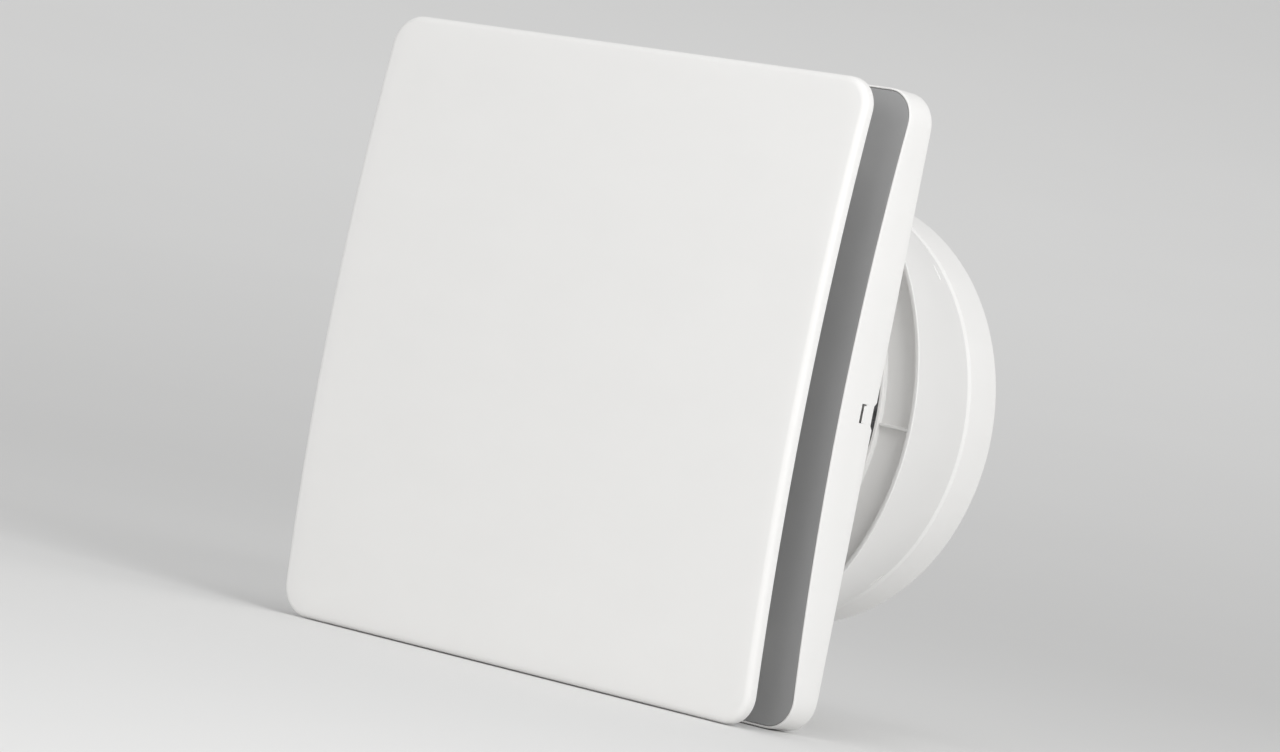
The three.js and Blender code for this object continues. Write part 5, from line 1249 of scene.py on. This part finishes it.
def spring_parts(s):
    """The spring's wire is a circle carried along a helix round the pin, with x = r cos a, y = pin + r sin a
    and z rising by the pitch for each turn, and then along a straight leg. The path's frame has one axis
    level and one square to the path, so the wire doesn't twist."""
    end = math.pi / 2 - math.asin((CURL_R - s.flap / 2 - WIRE / 2 - GAP) / SPRING_LEG)
    n = CURLS * CURL_STEPS
    i = np.arange(n + 1)
    angle = end + 2 * np.pi * (n - i) / CURL_STEPS
    z = FIRST_CURL + WIRE / 2 + CURL_PITCH * i / CURL_STEPS
    helix = np.stack([CURL_R * np.cos(angle), s.pin_place + CURL_R * np.sin(angle), z], -1)
    away = np.array([math.sin(end), -math.cos(end), 0])
    straight = helix[-1] + away * np.linspace(0.1 * MM, SPRING_LEG, 12)[:, None]
    path = np.concatenate([helix, straight])
    ahead = np.gradient(path, axis=0)
    ahead /= np.linalg.norm(ahead, axis=1)[:, None]
    across = np.cross([0, 0, 1.0], ahead)
    across /= np.linalg.norm(across, axis=1)[:, None]
    over = np.cross(ahead, across)
    t = np.linspace(0, 2 * np.pi, WIRE_STEPS, endpoint=False)[:, None]
    tube = path[:, None] + WIRE / 2 * (across[:, None] * np.cos(t) + over[:, None] * np.sin(t))
    ends = [np.broadcast_to(path[k], (1, WIRE_STEPS, 3)) for k in (0, -1)]
    return [sheet_of(np.concatenate([ends[0], tube, ends[1]]), wrap_columns=True)]


# ---- Foam, rubber and fastenings ----


FOAM_BORE = 71.3 * MM
GASKET_R, GASKET_FRONT, GASKET_BACK = 85.3 * MM, 0.3 * MM, 3.3 * MM
SEAL_R, SEAL_FRONT, SEAL_BACK = 74.1 * MM, 36.9 * MM, 44.9 * MM
CORD_INLET = (-100.9 * MM, -7.2 * MM, -60 * MM)
HEAD_DEPTH, DOME_DEPTH, CROSS_DEPTH = 1.8 * MM, 0.9 * MM, 0.9 * MM
THREAD_STEP = 0.3 * MM


class FAN_OT_seals(bpy.types.Operator):
    """Builds the gasket behind the housing, the collar's seal and the cable grommet"""

    bl_idname = "fan.seals"
    bl_label = "Seals"

    def execute(self, context):
        foam = finish_for("foam")
        gasket = [ring_block(FOAM_BORE, GASKET_R, GASKET_FRONT, GASKET_BACK, 0.6 * MM, 192)]
        piece("wall_gasket", gasket, foam, "base", ["rear_gasket"])
        seal = [ring_block(FOAM_BORE, SEAL_R, SEAL_FRONT, SEAL_BACK, 0.5 * MM, 192)]
        piece("sleeve_seal", seal, foam, "collar", ["collar_seal"])
        piece("cord_grommet", grommet_parts(), finish_for("rubber"), "base", ["cable_grommet"])
        return {"FINISHED"}


def grommet_parts():
    """A grommet in the left wall: a turned bush with a flange on each side of the wall, laid along X."""
    outside = [(2.6, -2.8), (4.1, -2.8), (4.1, -1.4), (3.7, -1.4)]
    inside_wall = [(3.7, 1.4), (4.5, 1.4), (4.5, 2.8), (2.6, 2.8)]
    bush = turned(filleted(np.array(outside + inside_wall) * MM, 0.35 * MM), 64)
    return [laid(bush, "x", CORD_INLET)]


class FAN_OT_fastenings(bpy.types.Operator):
    """Builds the screws, and dresses the terminals, the clamp and the leads"""

    bl_idname = "fan.fastenings"
    bl_label = "Screws and wiring"

    def execute(self, context):
        steel = finish_for("steel")
        names = [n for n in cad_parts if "_screw" in n]
        if not names:
            raise RuntimeError("the packed model has no screws")
        for name in names:
            piece(name + "_head", screw_parts(name), steel, "base", [name])
        dress(["terminal_block", "cable_clamp"], finish_for("nylon"))
        dress(["terminal_cover"], finish_for("inner"))
        dress(["motor_lead_live"], finish_for("brown"))
        dress(["motor_lead_neutral"], finish_for("blue"))
        return {"FINISHED"}


def screw_parts(name):
    """A pan-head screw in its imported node's place. The head is a turned dome whose face sinks in a cross,
    where |x| or |z| is under a sixth of the head's radius, out to about 0.6 of it. The shank is a turned
    bar with shallow threads."""
    low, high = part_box(name)
    centre = ((low[0] + high[0]) / 2, (low[2] + high[2]) / 2)
    head = (high[2] - low[2]) / 2
    shank = head / 2 if head > 2.5 * MM else head * 0.55
    front, seat, back = low[1], low[1] + HEAD_DEPTH, high[1]
    a = np.linspace(0, 2 * np.pi, 64, endpoint=False)[:, None]
    share = np.linspace(0, 1, 26)[None, :]
    radius = head * share
    x, z = radius * np.cos(a), radius * np.sin(a)
    dome = DOME_DEPTH * (1 - np.sqrt(np.clip(1 - (share * 0.98) ** 2, 0, 1)))
    arm = head / 6
    near = np.minimum(np.abs(x), np.abs(z))
    groove = np.clip((arm * 1.25 - near) / (arm * 0.5), 0, 1) * np.clip((0.66 - share) / 0.1, 0, 1)
    y = front + dome + CROSS_DEPTH * groove
    face = np.stack([centre[0] + x, y, centre[1] + z], -1)
    turns = np.arange(seat + 0.4 * MM, back - 0.8 * MM, THREAD_STEP)
    thread = np.stack([shank * np.where(np.arange(len(turns)) % 2, 0.86, 1.0), turns], -1)
    rim = [(head, seat - 0.15 * MM), (head * 0.97, seat), (shank, seat)]
    point = [(shank * 0.8, back - 0.6 * MM), (0.2 * MM, back), (0, back)]
    radius, depth = np.array([*rim, *thread, *point]).T
    sides = [centre[0] + radius * np.cos(a), np.broadcast_to(depth, (len(a), len(depth)))]
    skirt = np.stack([*sides, centre[1] + radius * np.sin(a)], -1)
    return [sheet_of(np.concatenate([face, skirt], 1), wrap_rows=True)]


# ---- The stage ----


FLAT_FLOOR = 1.2
FLOOR_EDGE = 8.0
FLOOR_LIFT = 1.9
AIR_LIGHT = 0.58
STUDIO_LIGHTS = [
    # name, place, aim, size, power
    ("key_softbox", (1.13, -0.44, 0.5), (0.08, 0, 0), 0.5, 6.6),
    ("front_softbox", (0.2, -2.6, 0.3), (0, 0, 0), 2.0, 18.5),
    ("top_softbox", (0.1, -0.1, 0.8), (0.05, -0.02, 0.1), 0.4, 0.6),
    ("back_softbox", (-2, 2.4, 3), (-3.6, 4.2, 0), 1, 20),
]
AZIMUTH, ELEVATION, ROLL = math.radians(40.64), math.radians(-0.21), math.radians(11.25)
DISTANCE = 1.634
LENS, SENSOR = 141.04, 36.0
SHIFT = (8.16 / 1280, -6.49 / 1280)


class FAN_OT_stage(bpy.types.Operator):
    """Builds the floor and backdrop, the soft lights and the camera"""

    bl_idname = "fan.stage"
    bl_label = "Stage"

    def execute(self, context):
        scene = context.scene
        floor = bpy.data.objects.new("studio_floor", floor_mesh(CAD_BOX[0][2] - 0.3 * MM))
        floor.data.materials.append(studio_paint(scene.fan_colours.floor))
        scene.collection.objects.link(floor)
        for name, place, aim, size, power in STUDIO_LIGHTS:
            softbox(name, place, aim, size, power)
        world = bpy.data.worlds.new("studio_air")
        world.use_nodes = True
        sky = world.node_tree.nodes["Background"]
        sky.inputs["Color"].default_value = (1, 1, 1, 1)
        sky.inputs["Strength"].default_value = AIR_LIGHT
        scene.world = world
        scene.view_settings.view_transform = "Standard"
        add_camera(scene)
        return {"FINISHED"}


def floor_mesh(low):
    """The floor is a dish turned about Z: flat to r0, then height = lift ((r - r0) / (edge - r0))^2."""
    radius = np.concatenate([[0, FLAT_FLOOR / 2], np.linspace(FLAT_FLOOR, FLOOR_EDGE, 48)])
    rise = FLOOR_LIFT * np.clip((radius - FLAT_FLOOR) / (FLOOR_EDGE - FLAT_FLOOR), 0, None) ** 2
    a = np.linspace(0, 2 * np.pi, 128, endpoint=False)[:, None]
    height = np.broadcast_to(low + rise, (len(a), len(radius)))
    grid = np.stack([radius * np.cos(a), radius * np.sin(a), height], -1)
    index = np.arange(height.size).reshape(height.shape)
    index = np.vstack([index, index[:1]])
    quads = np.stack([index[:-1, :-1], index[:-1, 1:], index[1:, 1:], index[1:, :-1]], -1).reshape(-1, 4)
    mesh = bpy.data.meshes.new("studio_floor")
    mesh.from_pydata(grid.reshape(-1, 3).tolist(), [], quads.tolist())
    mesh.shade_smooth()
    return mesh


def studio_paint(colour):
    """Matt backdrop paint with a faint roller texture."""
    finish = Finish("studio_paint", specular_ior_level=0.2)
    tone = finish.noise(3, 2, 0.5)
    finish.base(tone, tinted(colour, 0.995), tinted(colour, 1.005))
    finish.rough(tone, 0.85, 0.95)
    finish.bumps((finish.noise(150, 3), 0.05, 0.3 * MM))
    return finish.material


def softbox(name, place, aim, size, power):
    """A square area light at a place, turned towards its aim, that no camera sees."""
    light = bpy.data.lights.new(name, "AREA")
    light.shape = "SQUARE"
    light.size = size
    light.energy = power
    thing = bpy.data.objects.new(name, light)
    thing.location = place
    thing.rotation_euler = (Vector(aim) - Vector(place)).to_track_quat("-Z", "Y").to_euler()
    thing.visible_camera = False
    bpy.context.scene.collection.objects.link(thing)


def add_camera(scene):
    """The camera looks at the origin from the photograph's side. Its own right and up are turned about the
    line of sight by the roll."""
    level = math.cos(ELEVATION)
    back = Vector((math.sin(AZIMUTH) * level, -math.cos(AZIMUTH) * level, math.sin(ELEVATION)))
    right = Vector((0, 0, 1)).cross(back).normalized()
    up = back.cross(right)
    c, s = math.cos(ROLL), math.sin(ROLL)
    rolled_right, rolled_up = c * right + s * up, c * up - s * right
    camera = bpy.data.cameras.new("camera")
    camera.lens, camera.sensor_width = LENS, SENSOR
    camera.shift_x, camera.shift_y = SHIFT
    thing = bpy.data.objects.new("camera", camera)
    turn = Matrix((rolled_right, rolled_up, back)).transposed().to_4x4()
    thing.matrix_world = Matrix.Translation(back * DISTANCE) @ turn
    scene.collection.objects.link(thing)
    scene.camera = thing


# ---- The add-on ----


class FAN_PT_sidebar(bpy.types.Panel):
    """Lists the fan's builders and its sizes"""

    bl_idname = "FAN_PT_sidebar"
    bl_label = "Window Exhaust Fan"
    bl_space_type = "VIEW_3D"
    bl_region_type = "UI"
    bl_category = "Exhaust Fan"

    def draw(self, context):
        column = self.layout.column()
        for maker in MAKERS:
            column.operator(maker.bl_idname)
        for group in GROUPS:
            box = self.layout.box()
            box.label(text=group)
            values = getattr(context.scene, group)
            for key in values.__annotations__:
                box.prop(values, key)


MAKERS = [
    FAN_OT_front_panel,
    FAN_OT_housing,
    FAN_OT_motor,
    FAN_OT_impeller,
    FAN_OT_collar,
    FAN_OT_flaps,
    FAN_OT_seals,
    FAN_OT_fastenings,
    FAN_OT_stage,
]
GROUPS = {
    "fan_panel": PanelSizes,
    "fan_housing": HousingSizes,
    "fan_collar": CollarSizes,
    "fan_impeller": ImpellerSizes,
    "fan_colours": FanColours,
}


def register():
    """Registers the sizes, the makers and the sidebar."""
    for name, group in GROUPS.items():
        bpy.utils.register_class(group)
        setattr(bpy.types.Scene, name, PointerProperty(type=group))
    for maker in MAKERS:
        bpy.utils.register_class(maker)
    bpy.utils.register_class(FAN_PT_sidebar)


def unregister():
    """Takes them out again."""
    bpy.utils.unregister_class(FAN_PT_sidebar)
    for maker in reversed(MAKERS):
        bpy.utils.unregister_class(maker)
    for name, group in GROUPS.items():
        delattr(bpy.types.Scene, name)
        bpy.utils.unregister_class(group)


def main():
    """Builds the fan and its stage."""
    register()
    bpy.ops.fan.front_panel()
    bpy.ops.fan.housing()
    bpy.ops.fan.motor()
    bpy.ops.fan.impeller()
    bpy.ops.fan.collar()
    bpy.ops.fan.flaps()
    bpy.ops.fan.seals()
    bpy.ops.fan.fastenings()
    bpy.ops.fan.stage()


if __name__ == "__main__":
    main()
